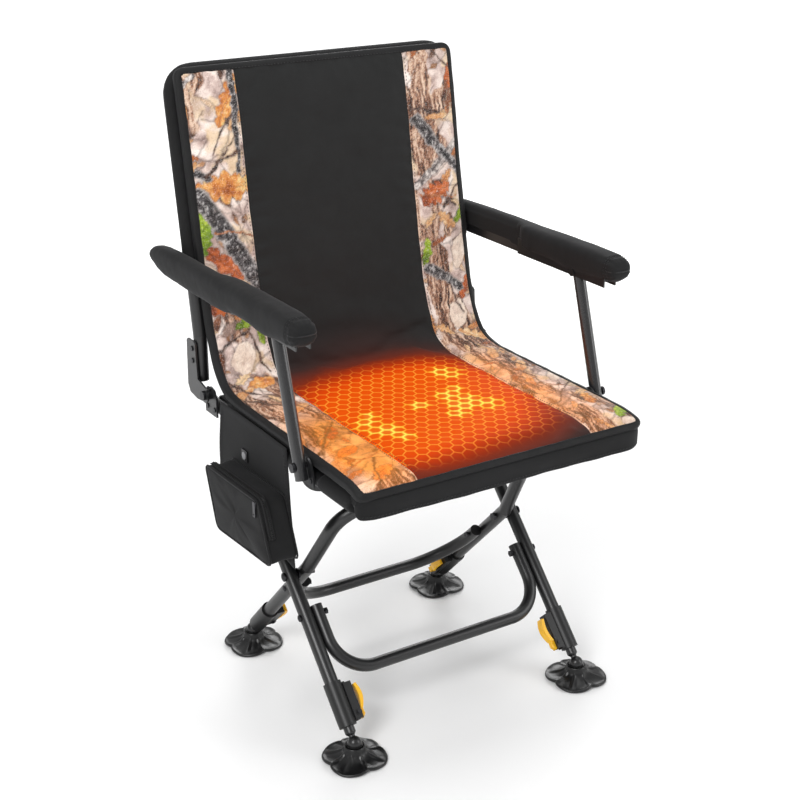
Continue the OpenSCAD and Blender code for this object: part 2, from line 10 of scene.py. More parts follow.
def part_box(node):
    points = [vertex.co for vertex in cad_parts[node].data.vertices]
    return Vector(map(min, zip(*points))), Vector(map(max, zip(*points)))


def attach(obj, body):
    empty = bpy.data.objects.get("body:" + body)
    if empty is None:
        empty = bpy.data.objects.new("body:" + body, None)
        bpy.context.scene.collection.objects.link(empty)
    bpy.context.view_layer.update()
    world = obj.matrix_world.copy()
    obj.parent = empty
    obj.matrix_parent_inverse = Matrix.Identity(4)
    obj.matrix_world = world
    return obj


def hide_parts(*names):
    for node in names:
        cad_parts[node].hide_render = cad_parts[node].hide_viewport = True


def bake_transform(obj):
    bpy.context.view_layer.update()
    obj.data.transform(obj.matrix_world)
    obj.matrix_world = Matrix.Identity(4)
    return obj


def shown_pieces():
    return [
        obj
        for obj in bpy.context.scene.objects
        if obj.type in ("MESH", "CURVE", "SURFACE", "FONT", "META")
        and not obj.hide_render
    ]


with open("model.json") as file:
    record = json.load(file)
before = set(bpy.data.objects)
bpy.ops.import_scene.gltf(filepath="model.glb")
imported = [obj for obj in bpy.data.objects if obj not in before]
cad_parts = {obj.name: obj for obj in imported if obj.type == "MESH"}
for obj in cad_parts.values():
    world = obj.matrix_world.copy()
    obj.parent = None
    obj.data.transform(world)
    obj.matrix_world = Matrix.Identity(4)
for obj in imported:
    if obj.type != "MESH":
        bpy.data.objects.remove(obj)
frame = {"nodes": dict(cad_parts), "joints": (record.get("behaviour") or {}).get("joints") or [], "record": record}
NODES = frame["nodes"]
CAD_NAMES = {node.name for node in NODES.values()}
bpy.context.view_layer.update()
AXIS = Vector(next(j for j in frame["joints"] if j["name"] == "seat_swivel")["pos_m"])
AXIS.z = 0
MM = 0.001
scene = bpy.context.scene

# Driving dimensions (mm)
PAD_HALF_WIDTH = 247.0
PAD_EDGE_THICK = 8
PAD_FULL_THICK = 19
PAD_CORNER = 13.0             # corner radius of the pad
PAD_SEAM = 151.0              # distance of each panel seam from the pad's centre line
SEAT_RAIL_X = 240             # side tubes of the seat
SEAT_RAIL_Z = 457
SEAT_SLEEVE_RADIUS = 13.4
HEM_HALF_WIDTH = 247
KINK = np.array((251, 205, 565.0))    # left back rail: lower bend and top corner
TOP = np.array((246, 280.8, 962.0))
BACK_CORNER = 34
PANEL_X = -252.3              # plane of the side panel


# ---------------------------------------------------------------- shader helpers
def linear(*rgb):
    """sRGB bytes to a linear RGBA colour."""
    return tuple(c / 255 / 12.92 if c / 255 <= 0.04045 else ((c / 255 + 0.055) / 1.055) ** 2.4
                 for c in rgb) + (1.0,)


def stops(*rows):
    """Rows of position, red, green, blue (sRGB bytes) to ramp stops."""
    return [(row[0], linear(*row[1:])) for row in rows]


def scaled(colour, factor, lift=0):
    return tuple(min(1, c * factor + lift) for c in colour[:3]) + (1,)


class Signal:
    """A socket in a shader tree that can be used in arithmetic."""

    def __init__(self, shader, socket):
        self.shader, self.socket = shader, socket

    def math(self, operation, *others):
        node = self.shader.node("ShaderNodeMath")
        node.operation = operation
        for i, value in enumerate((self,) + others):
            self.shader.feed(value, node.inputs[i])
        return Signal(self.shader, node.outputs[0])

    def __add__(self, other): return self.math("ADD", other)
    def __sub__(self, other): return self.math("SUBTRACT", other)
    def __rsub__(self, other): return self * -1 + other
    def __mul__(self, other): return self.math("MULTIPLY", other)
    def __truediv__(self, other): return self.math("DIVIDE", other)
    def sin(self): return self.math("SINE")
    def abs(self): return self.math("ABSOLUTE")
    def min(self, other): return self.math("MINIMUM", other)
    def max(self, other): return self.math("MAXIMUM", other)
    def above(self, other): return self.math("GREATER_THAN", other)
    def clamp(self): return self.max(0.0).min(1.0)

    def step(self, start, end):
        """Smooth change from 0 at start to 1 at end (start may be above end)."""
        node = self.shader.node("ShaderNodeMapRange")
        node.interpolation_type = "SMOOTHSTEP"
        self.shader.feed(self, node.inputs[0])
        limits = (start, end, 0, 1) if start <= end else (end, start, 1, 0)
        for i, value in enumerate(limits):
            node.inputs[i + 1].default_value = value
        return Signal(self.shader, node.outputs[0])


class Shader:
    """A new material and the tools to fill its node tree."""

    def __init__(self, name):
        self.material = bpy.data.materials.new(name)
        self.material.use_nodes = True
        self.tree = self.material.node_tree

    def node(self, kind):
        return self.tree.nodes.new(kind)

    def feed(self, value, socket):
        if isinstance(value, Signal):
            self.tree.links.new(value.socket, socket)
        else:
            socket.default_value = value

    def surface(self, inputs):
        for name, value in inputs.items():
            self.feed(value, self.tree.nodes["Principled BSDF"].inputs[name])

    def object_position(self):
        return Signal(self, self.node("ShaderNodeTexCoord").outputs["Object"])

    def attribute(self, name):
        node = self.node("ShaderNodeAttribute")
        node.attribute_name = name
        return Signal(self, node.outputs["Vector"])

    def split(self, vector):
        node = self.node("ShaderNodeSeparateXYZ")
        self.feed(vector, node.inputs[0])
        return [Signal(self, output) for output in node.outputs]

    def noise(self, vector, scale, detail=4, roughness=0.5, dimensions="3D"):
        node = self.node("ShaderNodeTexNoise")
        node.noise_dimensions = dimensions
        self.feed(vector, node.inputs["Vector"])
        node.inputs["Scale"].default_value = scale
        node.inputs["Detail"].default_value = detail
        node.inputs["Roughness"].default_value = roughness
        node.inputs["Distortion"].default_value = 0
        return Signal(self, node.outputs[0])

    def mix(self, share, first, second, mode="MIX"):
        node = self.node("ShaderNodeMix")
        node.data_type = "RGBA"
        node.blend_type = mode
        node.clamp_factor = True
        for i, value in ((0, share), (6, first), (7, second)):
            self.feed(value, node.inputs[i])
        return Signal(self, node.outputs[2])

    def ramp(self, position, colour_stops):
        node = self.node("ShaderNodeValToRGB")
        elements = node.color_ramp.elements
        while len(elements) < len(colour_stops):
            elements.new(0.5)
        for i, (place, colour) in enumerate(colour_stops):
            elements[i].position = place
            elements[i].color = colour
        self.feed(position, node.inputs[0])
        return Signal(self, node.outputs[0])

    def bump(self, height, distance, strength):
        node = self.node("ShaderNodeBump")
        node.inputs["Strength"].default_value = strength
        node.inputs["Distance"].default_value = distance
        self.feed(height, node.inputs["Height"])
        self.surface({"Normal": Signal(self, node.outputs[0])})


# ---------------------------------------------------------------- materials
def metal_paint(name, colour, roughness, specular=0.5, coat=0.0):
    """Powder-coated tube: fine orange-peel grain over broad paler patches."""
    shader = Shader(name)
    at = shader.object_position()
    grain = shader.noise(at, scale=900, detail=3, roughness=0.6)
    patches = shader.noise(at, scale=14, roughness=0.6)
    base = shader.mix(patches.step(start=0.3, end=0.75) * 0.55, colour, scaled(colour, 1.35))
    base = shader.mix(grain.step(start=0.55, end=0.75) * 0.3, base, scaled(colour, 2.2))
    shader.surface({
        "Base Color": base,
        "Roughness": grain * 0.16 + (roughness - 0.08) + patches * 0.06,
        "Specular IOR Level": specular,
        "Coat Weight": coat,
        "Coat Roughness": 0.25})
    shader.bump(grain, distance=0.00004, strength=0.6)
    return shader.material


def plastic(name, colour, roughness, patchiness=0.25, subsurface=0.0):
    """Moulded plastic: fine darker grain over broad paler patches."""
    shader = Shader(name)
    at = shader.object_position()
    grain = shader.noise(at, scale=1300, detail=2)
    patches = shader.noise(at, scale=25, detail=5, roughness=0.6)
    base = shader.mix(patches.step(start=0.35, end=0.7) * patchiness,
                      colour, scaled(colour, 1.4, lift=0.001))
    base = shader.mix(grain.step(start=0.5, end=0.8) * 0.25, base, scaled(colour, 0.6))
    shader.surface({
        "Base Color": base,
        "Roughness": grain * 0.2 + (roughness - 0.1),
        "Specular IOR Level": 0.5,
        "Subsurface Weight": subsurface})
    shader.bump(grain, distance=0.00005, strength=0.5)
    return shader.material


def weave_height(shader, at, pitch):
    """Two crossed thread waves, on the plane each face looks along most."""
    x, y, z = shader.split(at)
    normal = shader.node("ShaderNodeNewGeometry").outputs["Normal"]
    normal_x, _, normal_z = shader.split(Signal(shader, normal))

    def crossed(a, b):
        return (a * (math.pi / pitch)).sin() * (b * (math.pi / pitch)).sin()

    top, side, front = crossed(x, y), crossed(y, z), crossed(x, z)
    is_top = normal_z.abs().above(0.6)
    is_side = normal_x.abs().above(0.6) * (1 - is_top)
    return (top * is_top + side * is_side + front * (1 - is_top) * (1 - is_side)) * 0.5 + 0.5


def fabric(name, dark, light, roughness=0.82, pitch=0.0011, depth=0.00012, sheen=0.35):
    """Woven cloth; pitch and depth are the threads' spacing and relief in metres."""
    shader = Shader(name)
    at = shader.object_position()
    weave = weave_height(shader, at, pitch)
    fluff = shader.noise(at, scale=420, roughness=0.65)
    patches = shader.noise(at, scale=9, detail=5, roughness=0.6)
    lightness = weave * 0.45 + fluff * 0.35 + patches.step(start=0.3, end=0.8) * 0.4
    shader.surface({
        "Base Color": shader.mix(lightness.clamp(), dark, light),
        "Roughness": fluff * 0.12 + (roughness - 0.06),
        "Sheen Weight": sheen,
        "Sheen Roughness": 0.45,
        "Sheen Tint": (0.5, 0.5, 0.52, 1),
        "Specular IOR Level": 0.25})
    lumps = shader.noise(at, scale=45, detail=3, roughness=0.6)
    shader.bump(weave * 0.6 + fluff * 0.5 + lumps * 2.0, distance=depth, strength=0.8)
    return shader.material


def steel(name, colour, roughness):
    """Bare metal with cloudy, uneven polish."""
    shader = Shader(name)
    at = shader.object_position()
    clouds = shader.noise(at, scale=120, detail=5, roughness=0.7)
    shader.surface({
        "Base Color": shader.mix(clouds.step(start=0.4, end=0.7) * 0.6,
                                 colour, scaled(colour, 1.8, lift=0.02)),
        "Roughness": clouds * 0.3 + (roughness - 0.12),
        "Metallic": 0.9})
    shader.bump(shader.noise(at, scale=700, detail=2), distance=0.00003, strength=0.5)
    return shader.material


FINISHES = {
    "tube_black": (metal_paint, dict(colour=(0.0075, 0.0075, 0.008, 1), roughness=0.33,
                                     specular=0.6)),
    "post_black": (metal_paint, dict(colour=(0.012, 0.012, 0.013, 1), roughness=0.22, coat=0.5)),
    "fastener": (steel, dict(colour=(0.03, 0.03, 0.033, 1), roughness=0.32)),
    "bearing_steel": (steel, dict(colour=(0.5, 0.5, 0.52, 1), roughness=0.25)),
    "rod_black": (metal_paint, dict(colour=(0.007, 0.007, 0.0075, 1), roughness=0.30,
                                    specular=0.6)),
    "lever_yellow": (plastic, dict(colour=linear(247, 181, 27), roughness=0.33, patchiness=0.3,
                                   subsurface=0.05)),
    "liner_nylon": (plastic, dict(colour=(0.008, 0.008, 0.008, 1), roughness=0.45)),
    "foot_plastic": (plastic, dict(colour=(0.0035, 0.0035, 0.0038, 1), roughness=0.34,
                                   patchiness=0.4)),
    "black_plastic": (plastic, dict(colour=(0.006, 0.006, 0.0063, 1), roughness=0.42,
                                    patchiness=0.4)),
    "plate_grey": (metal_paint, dict(colour=(0.013, 0.013, 0.014, 1), roughness=0.30)),
    "heater": (fabric, dict(dark=(0.03, 0.012, 0.008, 1), light=(0.06, 0.02, 0.014, 1))),
    "button": (plastic, dict(colour=(0.22, 0.22, 0.23, 1), roughness=0.35)),
    "zip_metal": (steel, dict(colour=(0.05, 0.05, 0.055, 1), roughness=0.3)),
    "black_fabric": (fabric, dict(dark=(0.0032, 0.0032, 0.0034, 1),
                                  light=(0.0115, 0.0115, 0.012, 1), sheen=0.10)),
    "binding": (fabric, dict(dark=(0.003, 0.003, 0.0032, 1), light=(0.009, 0.009, 0.0095, 1),
                             roughness=0.62, pitch=0.0016, depth=0.00016, sheen=0.08)),
    "thread": (fabric, dict(dark=(0.008, 0.008, 0.0085, 1), light=(0.022, 0.022, 0.023, 1),
                            roughness=0.55, pitch=0.0006, depth=0.00006, sheen=0.1)),
}
MATERIALS = {name: maker(name, **settings) for name, (maker, settings) in FINISHES.items()}


# ---------------------------------------------------------------- mesh helpers (mm)
# A shape is a pair: its points and its faces.
def add_mesh(name, shape, material, smooth=True):
    mesh = bpy.data.meshes.new(name)
    mesh.from_pydata([tuple(float(c) * MM for c in point) for point in shape[0]], [],
                     [tuple(int(i) for i in face) for face in shape[1]])
    mesh.update()
    edit = bmesh.new()
    edit.from_mesh(mesh)
    bmesh.ops.recalc_face_normals(edit, faces=edit.faces)
    edit.to_mesh(mesh)
    edit.free()
    for face in mesh.polygons:
        face.use_smooth = smooth
    piece = bpy.data.objects.new(name, mesh)
    scene.collection.objects.link(piece)
    mesh.materials.append(MATERIALS[material])
    return piece


def register(piece, body=None, replaces=()):
    if replaces:
        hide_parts(*replaces)
    if body:
        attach(piece, body)


def loft(rings, cap=True, loop=False):
    """Skin over rings of equal point count. cap closes each end with a fan."""
    rings = np.asarray(rings, float)
    ring_count, count = rings.shape[:2]
    points, faces = list(rings.reshape(-1, 3)), []
    for i in range(ring_count if loop else ring_count - 1):
        near, far = i * count, (i + 1) % ring_count * count
        for j in range(count):
            k = (j + 1) % count
            faces.append((near + j, near + k, far + k, far + j))
    if cap and not loop:
        for ring, base in ((rings[0], 0), (rings[-1], (ring_count - 1) * count)):
            faces += [(base + j, base + (j + 1) % count, len(points)) for j in range(count)]
            points.append(ring.mean(0))
    return points, faces


def join(shapes):
    points, faces = [], []
    for shape_points, shape_faces in shapes:
        faces += [tuple(i + len(points) for i in face) for face in shape_faces]
        points += list(shape_points)
    return points, faces


def closed_grid(rows, columns, alternate=True):
    """Faces of a front grid and a back grid joined round their rim.
    alternate lists front and back faces in turn, instead of all the front ones first."""
    count = rows * columns
    index = np.arange(count).reshape(rows, columns)
    a, b = index[:-1, :-1].ravel(), index[:-1, 1:].ravel()
    c, d = index[1:, 1:].ravel(), index[1:, :-1].ravel()
    both = [np.stack([a, b, c, d], 1), np.stack([a, d, c, b], 1) + count]
    faces = np.stack(both, 1).reshape(-1, 4) if alternate else np.concatenate(both)
    rim = np.r_[index[0, :], index[1:, -1], index[-1, -2::-1], index[-2:0:-1, 0]]
    following = np.roll(rim, -1)
    return np.concatenate([faces, np.stack([rim, following, following + count, rim + count], 1)])


def resample(points, step, closed=False):
    points = np.asarray(points, float)
    if closed:
        points = np.vstack([points, points[:1]])
    run = path_run(points)
    t = np.linspace(0, run[-1], max(3, int(round(run[-1] / step))) + 1)
    result = np.stack([np.interp(t, run, column) for column in points.T], 1)
    return result[:-1] if closed else result


def path_run(points):
    """Distance along a path at each of its points."""
    return np.r_[0, np.cumsum(np.linalg.norm(np.diff(points, axis=0), axis=1))]


def smooth_path(points, passes, closed=False):
    points = np.asarray(points, float)
    for _ in range(passes):
        blurred = (np.roll(points, 1, 0) + 2 * points + np.roll(points, -1, 0)) / 4
        if not closed:
            blurred[[0, -1]] = points[[0, -1]]
        points = blurred
    return points


def cord(path, radius, closed=False, sides=10, up=(0, 0, 1)):
    """Round cord along a path; up is carried along with the least twist."""
    path = np.asarray(path, float)
    tangents = np.roll(path, -1, 0) - np.roll(path, 1, 0)
    if not closed:
        tangents[0], tangents[-1] = path[1] - path[0], path[-1] - path[-2]
    tangents /= np.linalg.norm(tangents, axis=1)[:, None]
    angles = np.linspace(0, 2 * math.pi, sides, endpoint=False)
    up = np.array(up, float)
    rings = []
    for point, tangent in zip(path, tangents):
        up = up - tangent * (up @ tangent)
        up /= np.linalg.norm(up)
        rings.append(point + np.outer(np.cos(angles) * radius, np.cross(up, tangent))
                     + np.outer(np.sin(angles) * radius, up))
    return loft(rings, cap=not closed, loop=closed)


# Along a stitch: position, width factor, height in thread radii
STITCH_RINGS = ((0, 0.25, -0.9), (0.22, 0.95, 0.1), (0.5, 1.05, 0.35), (0.78, 0.95, 0.1),
                (1, 0.25, -0.9))


def stitches(path, normals, length=3.2, gap=2.4, radius=0.55, lift=0.15):
    """Thread stitches along a path on a surface, each a small pillow dipping in at both ends."""
    path = np.asarray(path, float)
    normals = np.broadcast_to(normals, path.shape)
    run = path_run(path)

    def along(values, s):
        return np.array([np.interp(s, run, column) for column in values.T])

    shapes = []
    start = gap / 2
    while start + length < run[-1]:
        a, b = along(path, start), along(path, start + length)
        tangent = (b - a) / np.linalg.norm(b - a)
        normal = along(normals, start + length / 2)
        normal = normal / np.linalg.norm(normal)
        side = np.cross(normal, tangent)
        rings = []
        for t, width, height in STITCH_RINGS:
            centre = a + (b - a) * t + normal * (lift + height * radius)
            rings.append([centre + side * radius * width * math.cos(q)
                          + normal * radius * width * math.sin(q)
                          for q in np.arange(6) * math.pi / 3])
        shapes.append(loft(rings))
        start += length + gap
    return join(shapes)


def add_modifier(piece, kind, **settings):
    modifier = piece.modifiers.new(kind.lower(), kind)
    for name, value in settings.items():
        setattr(modifier, name, value)


def subdivide(piece):
    add_modifier(piece, "SUBSURF", levels=1, render_levels=1)


def fused(name, shapes, voxel, smoothing):
    """One cloth skin over overlapping shapes."""
    piece = add_mesh(name, join(shapes), "black_fabric")
    add_modifier(piece, "REMESH", mode="VOXEL", voxel_size=voxel * MM, use_smooth_shade=True)
    add_modifier(piece, "SMOOTH", iterations=smoothing, factor=0.5)
    graph = bpy.context.evaluated_depsgraph_get()
    graph.update()
    mesh = bpy.data.meshes.new_from_object(piece.evaluated_get(graph), depsgraph=graph)
    piece.modifiers.clear()
    piece.data = mesh
    for face in mesh.polygons:
        face.use_smooth = True
    return piece


def get_points(mesh):
    points = np.zeros(len(mesh.vertices) * 3)
    mesh.vertices.foreach_get("co", points)
    return points.reshape(-1, 3) * 1000


def set_points(piece, points):
    piece.data.vertices.foreach_set("co", (points / 1000).ravel())
    piece.data.update()


def settle(piece, pin, pressure, limit, frame_count, shrink=0.0):
    """Cloth simulation of a closed piece under inner pressure.
    pin holds each point by 0 to 1; limit is the furthest a point may move (mm)."""
    rest = get_points(piece.data)
    group = piece.vertex_groups.new(name="pin")
    levels = np.round(np.clip(np.asarray(pin, float), 0, 1), 1)
    for level in np.unique(levels):
        if level > 0:
            group.add([int(i) for i in np.where(levels == level)[0]], float(level), "REPLACE")
    modifier = piece.modifiers.new("cloth", "CLOTH")
    settings = modifier.settings
    settings.quality = 4
    settings.mass = 0.25
    settings.tension_stiffness = settings.compression_stiffness = 15.0
    settings.shear_stiffness = 6.0
    settings.bending_stiffness = 0.6
    settings.use_pressure = True
    settings.uniform_pressure_force = pressure
    settings.shrink_min = shrink
    settings.effector_weights.gravity = 0
    settings.vertex_group_mass = "pin"
    modifier.collision_settings.use_collision = False
    modifier.collision_settings.use_self_collision = False
    modifier.point_cache.frame_start = 1
    modifier.point_cache.frame_end = frame_count
    for number in range(1, frame_count + 1):
        scene.frame_set(number)
    evaluated = piece.evaluated_get(bpy.context.evaluated_depsgraph_get())
    moved = get_points(evaluated.to_mesh())
    evaluated.to_mesh_clear()
    piece.modifiers.remove(modifier)
    piece.vertex_groups.remove(group)
    scene.frame_set(1)
    shift = moved - rest
    if not np.isfinite(shift).all():
        shift = np.zeros_like(shift)
    size = np.linalg.norm(shift, axis=1)
    # ease long moves off towards the limit
    factor = np.where(size > 1e-6, limit * np.tanh(size / limit) / np.maximum(size, 1e-6), 1)
    set_points(piece, rest + shift * factor[:, None])


def wobble(points, height, size, seed=0.0):
    """Smooth seeded noise for each point; size is the width of its lumps (mm)."""
    f = 1 / size
    return height * np.array([
        noise.noise(Vector((p[0] * f + seed, p[1] * f - seed, p[2] * f + 2 * seed)))
        for p in points])


def smoothstep(x, start, end):
    t = np.clip((x - start) / (end - start), 0, 1)
    return t * t * (3 - 2 * t)


def squircle(angles, roundness):
    """Unit superellipse: 2 is a circle, higher is squarer."""
    return [np.sign(c) * np.abs(c) ** (2 / roundness) for c in (np.cos(angles), np.sin(angles))]


# ---------------------------------------------------------------- the pad's shape
# Side profile from the front edge to the top: y, z
PAD_PROFILE = (
    (-278, 477), (-271, 483.5), (-262, 487), (-240, 490.5), (-210, 492), (-150, 492.5),
    (-60, 492.5), (40, 492.5), (90, 493), (118, 497), (138, 506), (152, 520), (163, 540),
    (171, 562), (181, 590), (199, 676), (212, 743), (224, 818), (236, 888), (246, 940), (253, 972))
profile = smooth_path(resample(PAD_PROFILE, 4.0), 6)
profile_run = path_run(profile)
PAD_LENGTH = float(profile_run[-1])


def profile_at(s):
    """Place and unit direction (y, z, dy, dz) at length s along the profile."""
    def place(s):
        return [np.interp(s, profile_run, column) for column in profile.T]

    y, z = place(s)
    y0, z0 = place(np.clip(s - 5, 0, PAD_LENGTH))
    y1, z1 = place(np.clip(s + 5, 0, PAD_LENGTH))
    size = np.hypot(y1 - y0, z1 - z0)
    return y, z, (y1 - y0) / size, (z1 - z0) / size


def pad_half(inset):
    """Half the pad's thickness at a distance in from its edge."""
    swell = (PAD_FULL_THICK - PAD_EDGE_THICK) * (1 - np.exp(-np.maximum(inset, 0) / 9))
    return (PAD_EDGE_THICK + swell) / 2


def pad_point(x, s, offset):
    """Point at width x and length s, offset in front of the pad's middle surface."""
    inside = np.clip(s, 0, PAD_LENGTH)
    y, z, dy, dz = profile_at(inside)
    rise = offset - PAD_FULL_THICK / 2
    return np.stack([x, y - dz * rise + dy * (s - inside), z + dy * rise + dz * (s - inside)], -1)


def pad_normal(s):
    _, _, dy, dz = profile_at(s)
    return np.stack([0 * s, -dz, dy], 1)


def pad_columns(side_count):
    """Widths of the grid's columns, with one on each seam."""
    return np.unique(np.r_[np.linspace(-PAD_HALF_WIDTH, -PAD_SEAM, side_count),
                           np.linspace(-PAD_SEAM, PAD_SEAM, 48),
                           np.linspace(PAD_SEAM, PAD_HALF_WIDTH, side_count)])


CORE_X, CORE_S = pad_columns(16), np.linspace(0, PAD_LENGTH, 138)


def settled_pad():
    """Front and back grids of the pad after its cloth has settled."""
    x, s = np.meshgrid(CORE_X, CORE_S)
    inset = np.minimum(np.minimum(PAD_HALF_WIDTH - np.abs(x), s), PAD_LENGTH - s)
    groove = 1.3 * np.exp(-((np.abs(x) - PAD_SEAM) / 3.5) ** 2)
    # pull the square corners of the grid in onto an arc
    centre_x = np.clip(x, -PAD_HALF_WIDTH + PAD_CORNER, PAD_HALF_WIDTH - PAD_CORNER)
    centre_s = np.clip(s, PAD_CORNER, PAD_LENGTH - PAD_CORNER)
    dx, ds = x - centre_x, s - centre_s
    pull = np.maximum(np.abs(dx), np.abs(ds)) / np.maximum(np.hypot(dx, ds), 1e-9)
    round_x, round_s = centre_x + dx * pull, centre_s + ds * pull
    points = np.concatenate([pad_point(round_x, round_s, pad_half(inset) - groove).reshape(-1, 3),
                             pad_point(round_x, round_s, -pad_half(inset)).reshape(-1, 3)])
    core = add_mesh("seat_and_back_pad_core", (points, closed_grid(*x.shape)), "camo_pad")

    points = get_points(core.data)
    is_front = np.arange(len(points)) < x.size
    x, s, inset = (np.tile(field.ravel(), 2) for field in (x, s, inset))
    _, _, dy, dz = profile_at(s)
    # a hollow in the seat, wrinkles, and folds in the crease before the back
    across = np.cos(np.clip(x / PAD_HALF_WIDTH, -1, 1) * math.pi / 2)
    dish = -4.5 * np.exp(-((s - 210) / 150) ** 2) * across
    ripple = (wobble(np.stack([x * 0.55, s, 0 * s], 1), height=2.0, size=55, seed=3.1)
              + wobble(np.stack([x, s, 0 * s], 1), height=0.9, size=19, seed=8.4))
    crease = 1.5 * np.sin(s / 9.5 + 0.02 * x) * np.exp(-((s - 440) / 45) ** 2)
    rise = (dish + ripple + crease) * np.clip(inset / 40, 0, 1)
    rise = np.where(is_front, rise, rise * 0.35)
    points[:, 1] += -dz * rise
    points[:, 2] += dy * rise
    set_points(core, points)
    on_seam = np.abs(np.abs(x) - PAD_SEAM) < 1.0
    pin = np.where(~is_front | (inset < 13) | on_seam, 1.0, 0.0)
    settle(core, pin, pressure=3.2, limit=3.6, frame_count=14, shrink=-0.012)
    grids = get_points(core.data).reshape(2, len(CORE_S), len(CORE_X), 3)
    bpy.data.objects.remove(core)
    return grids


# ---------------------------------------------------------------- camouflage print (mm)
def cell_random(column, row, seed):
    """Fixed random value from 0 to 1 for each cell."""
    h = (column.astype(np.int64) * 374761393 + row.astype(np.int64) * 668265263
         + int(seed) * 1442695041) & 0xFFFFFFFF
    h = ((h ^ (h >> 13)) * 1274126177) & 0xFFFFFFFF
    return ((h ^ (h >> 16)) & 0xFFFFFF) / float(0xFFFFFF)


def value_noise(x, y, seed):
    ix, iy = np.floor(x), np.floor(y)
    fx, fy = x - ix, y - iy
    fx, fy = fx * fx * (3 - 2 * fx), fy * fy * (3 - 2 * fy)
    a, b = cell_random(ix, iy, seed), cell_random(ix + 1, iy, seed)
    c, d = cell_random(ix, iy + 1, seed), cell_random(ix + 1, iy + 1, seed)
    return (a * (1 - fx) + b * fx) * (1 - fy) + (c * (1 - fx) + d * fx) * fy


def layered_noise(x, y, size, seed, octaves=4, roughness=0.55):
    total, weight, weights, detail = 0, 1.0, 0, 1.0
    for i in range(octaves):
        total = total + weight * value_noise(x / size * detail + 17.3 * i,
                                             y / size * detail - 9.1 * i, seed + i * 7)
        weights += weight
        weight *= roughness
        detail *= 2.03
    return total / weights


def tones(position, colour_stops):
    places = [place for place, _ in colour_stops]
    return np.stack([np.interp(position, places, [colour[k] for _, colour in colour_stops])
                     for k in range(3)], -1)


def over(below, mask, colour):
    mask = np.asarray(mask)[..., None]
    return below * (1 - mask) + np.asarray(colour)[..., :3] * mask


def leaf_width(q, power, width, lobes, depth):
    """Half width of a leaf at q from -1 to 1 along it."""
    outline = (1 - q * q) ** power * width
    if lobes:
        outline = outline * (1 - depth + depth * np.abs(np.cos(q * lobes * math.pi)))
    return outline


# Palettes of the large leaves: blade tones, rib colour, edge colour
ORANGE = (stops((0.30, 146, 78, 34), (0.44, 206, 128, 60), (0.56, 228, 166, 94),
                (0.70, 242, 216, 152)), linear(134, 74, 34), linear(120, 70, 36))
TAN = (stops((0.30, 176, 114, 70), (0.46, 214, 160, 108), (0.60, 232, 194, 146),
             (0.72, 240, 222, 188)), linear(150, 92, 52), linear(130, 84, 54))
RUST = (stops((0.30, 100, 46, 24), (0.45, 164, 82, 40), (0.58, 208, 112, 56),
              (0.72, 216, 152, 110)), linear(82, 40, 24), linear(66, 38, 28))
BROWN = (stops((0.30, 60, 38, 32), (0.45, 108, 68, 50), (0.58, 150, 98, 70),
               (0.72, 196, 150, 122)), linear(60, 38, 30), linear(48, 32, 28))
GREEN = (stops((0.30, 66, 94, 20), (0.44, 112, 146, 32), (0.56, 150, 186, 46),
               (0.70, 194, 216, 90)), linear(84, 110, 28), linear(60, 76, 24))
PALE = (stops((0.3, 210, 192, 184), (0.5, 240, 228, 218), (0.7, 252, 247, 242)),
        linear(200, 182, 170), linear(176, 156, 146))
GREY = (stops((0.3, 120, 100, 94), (0.5, 150, 128, 120), (0.7, 180, 158, 150)),
        linear(100, 82, 76), linear(96, 78, 72))
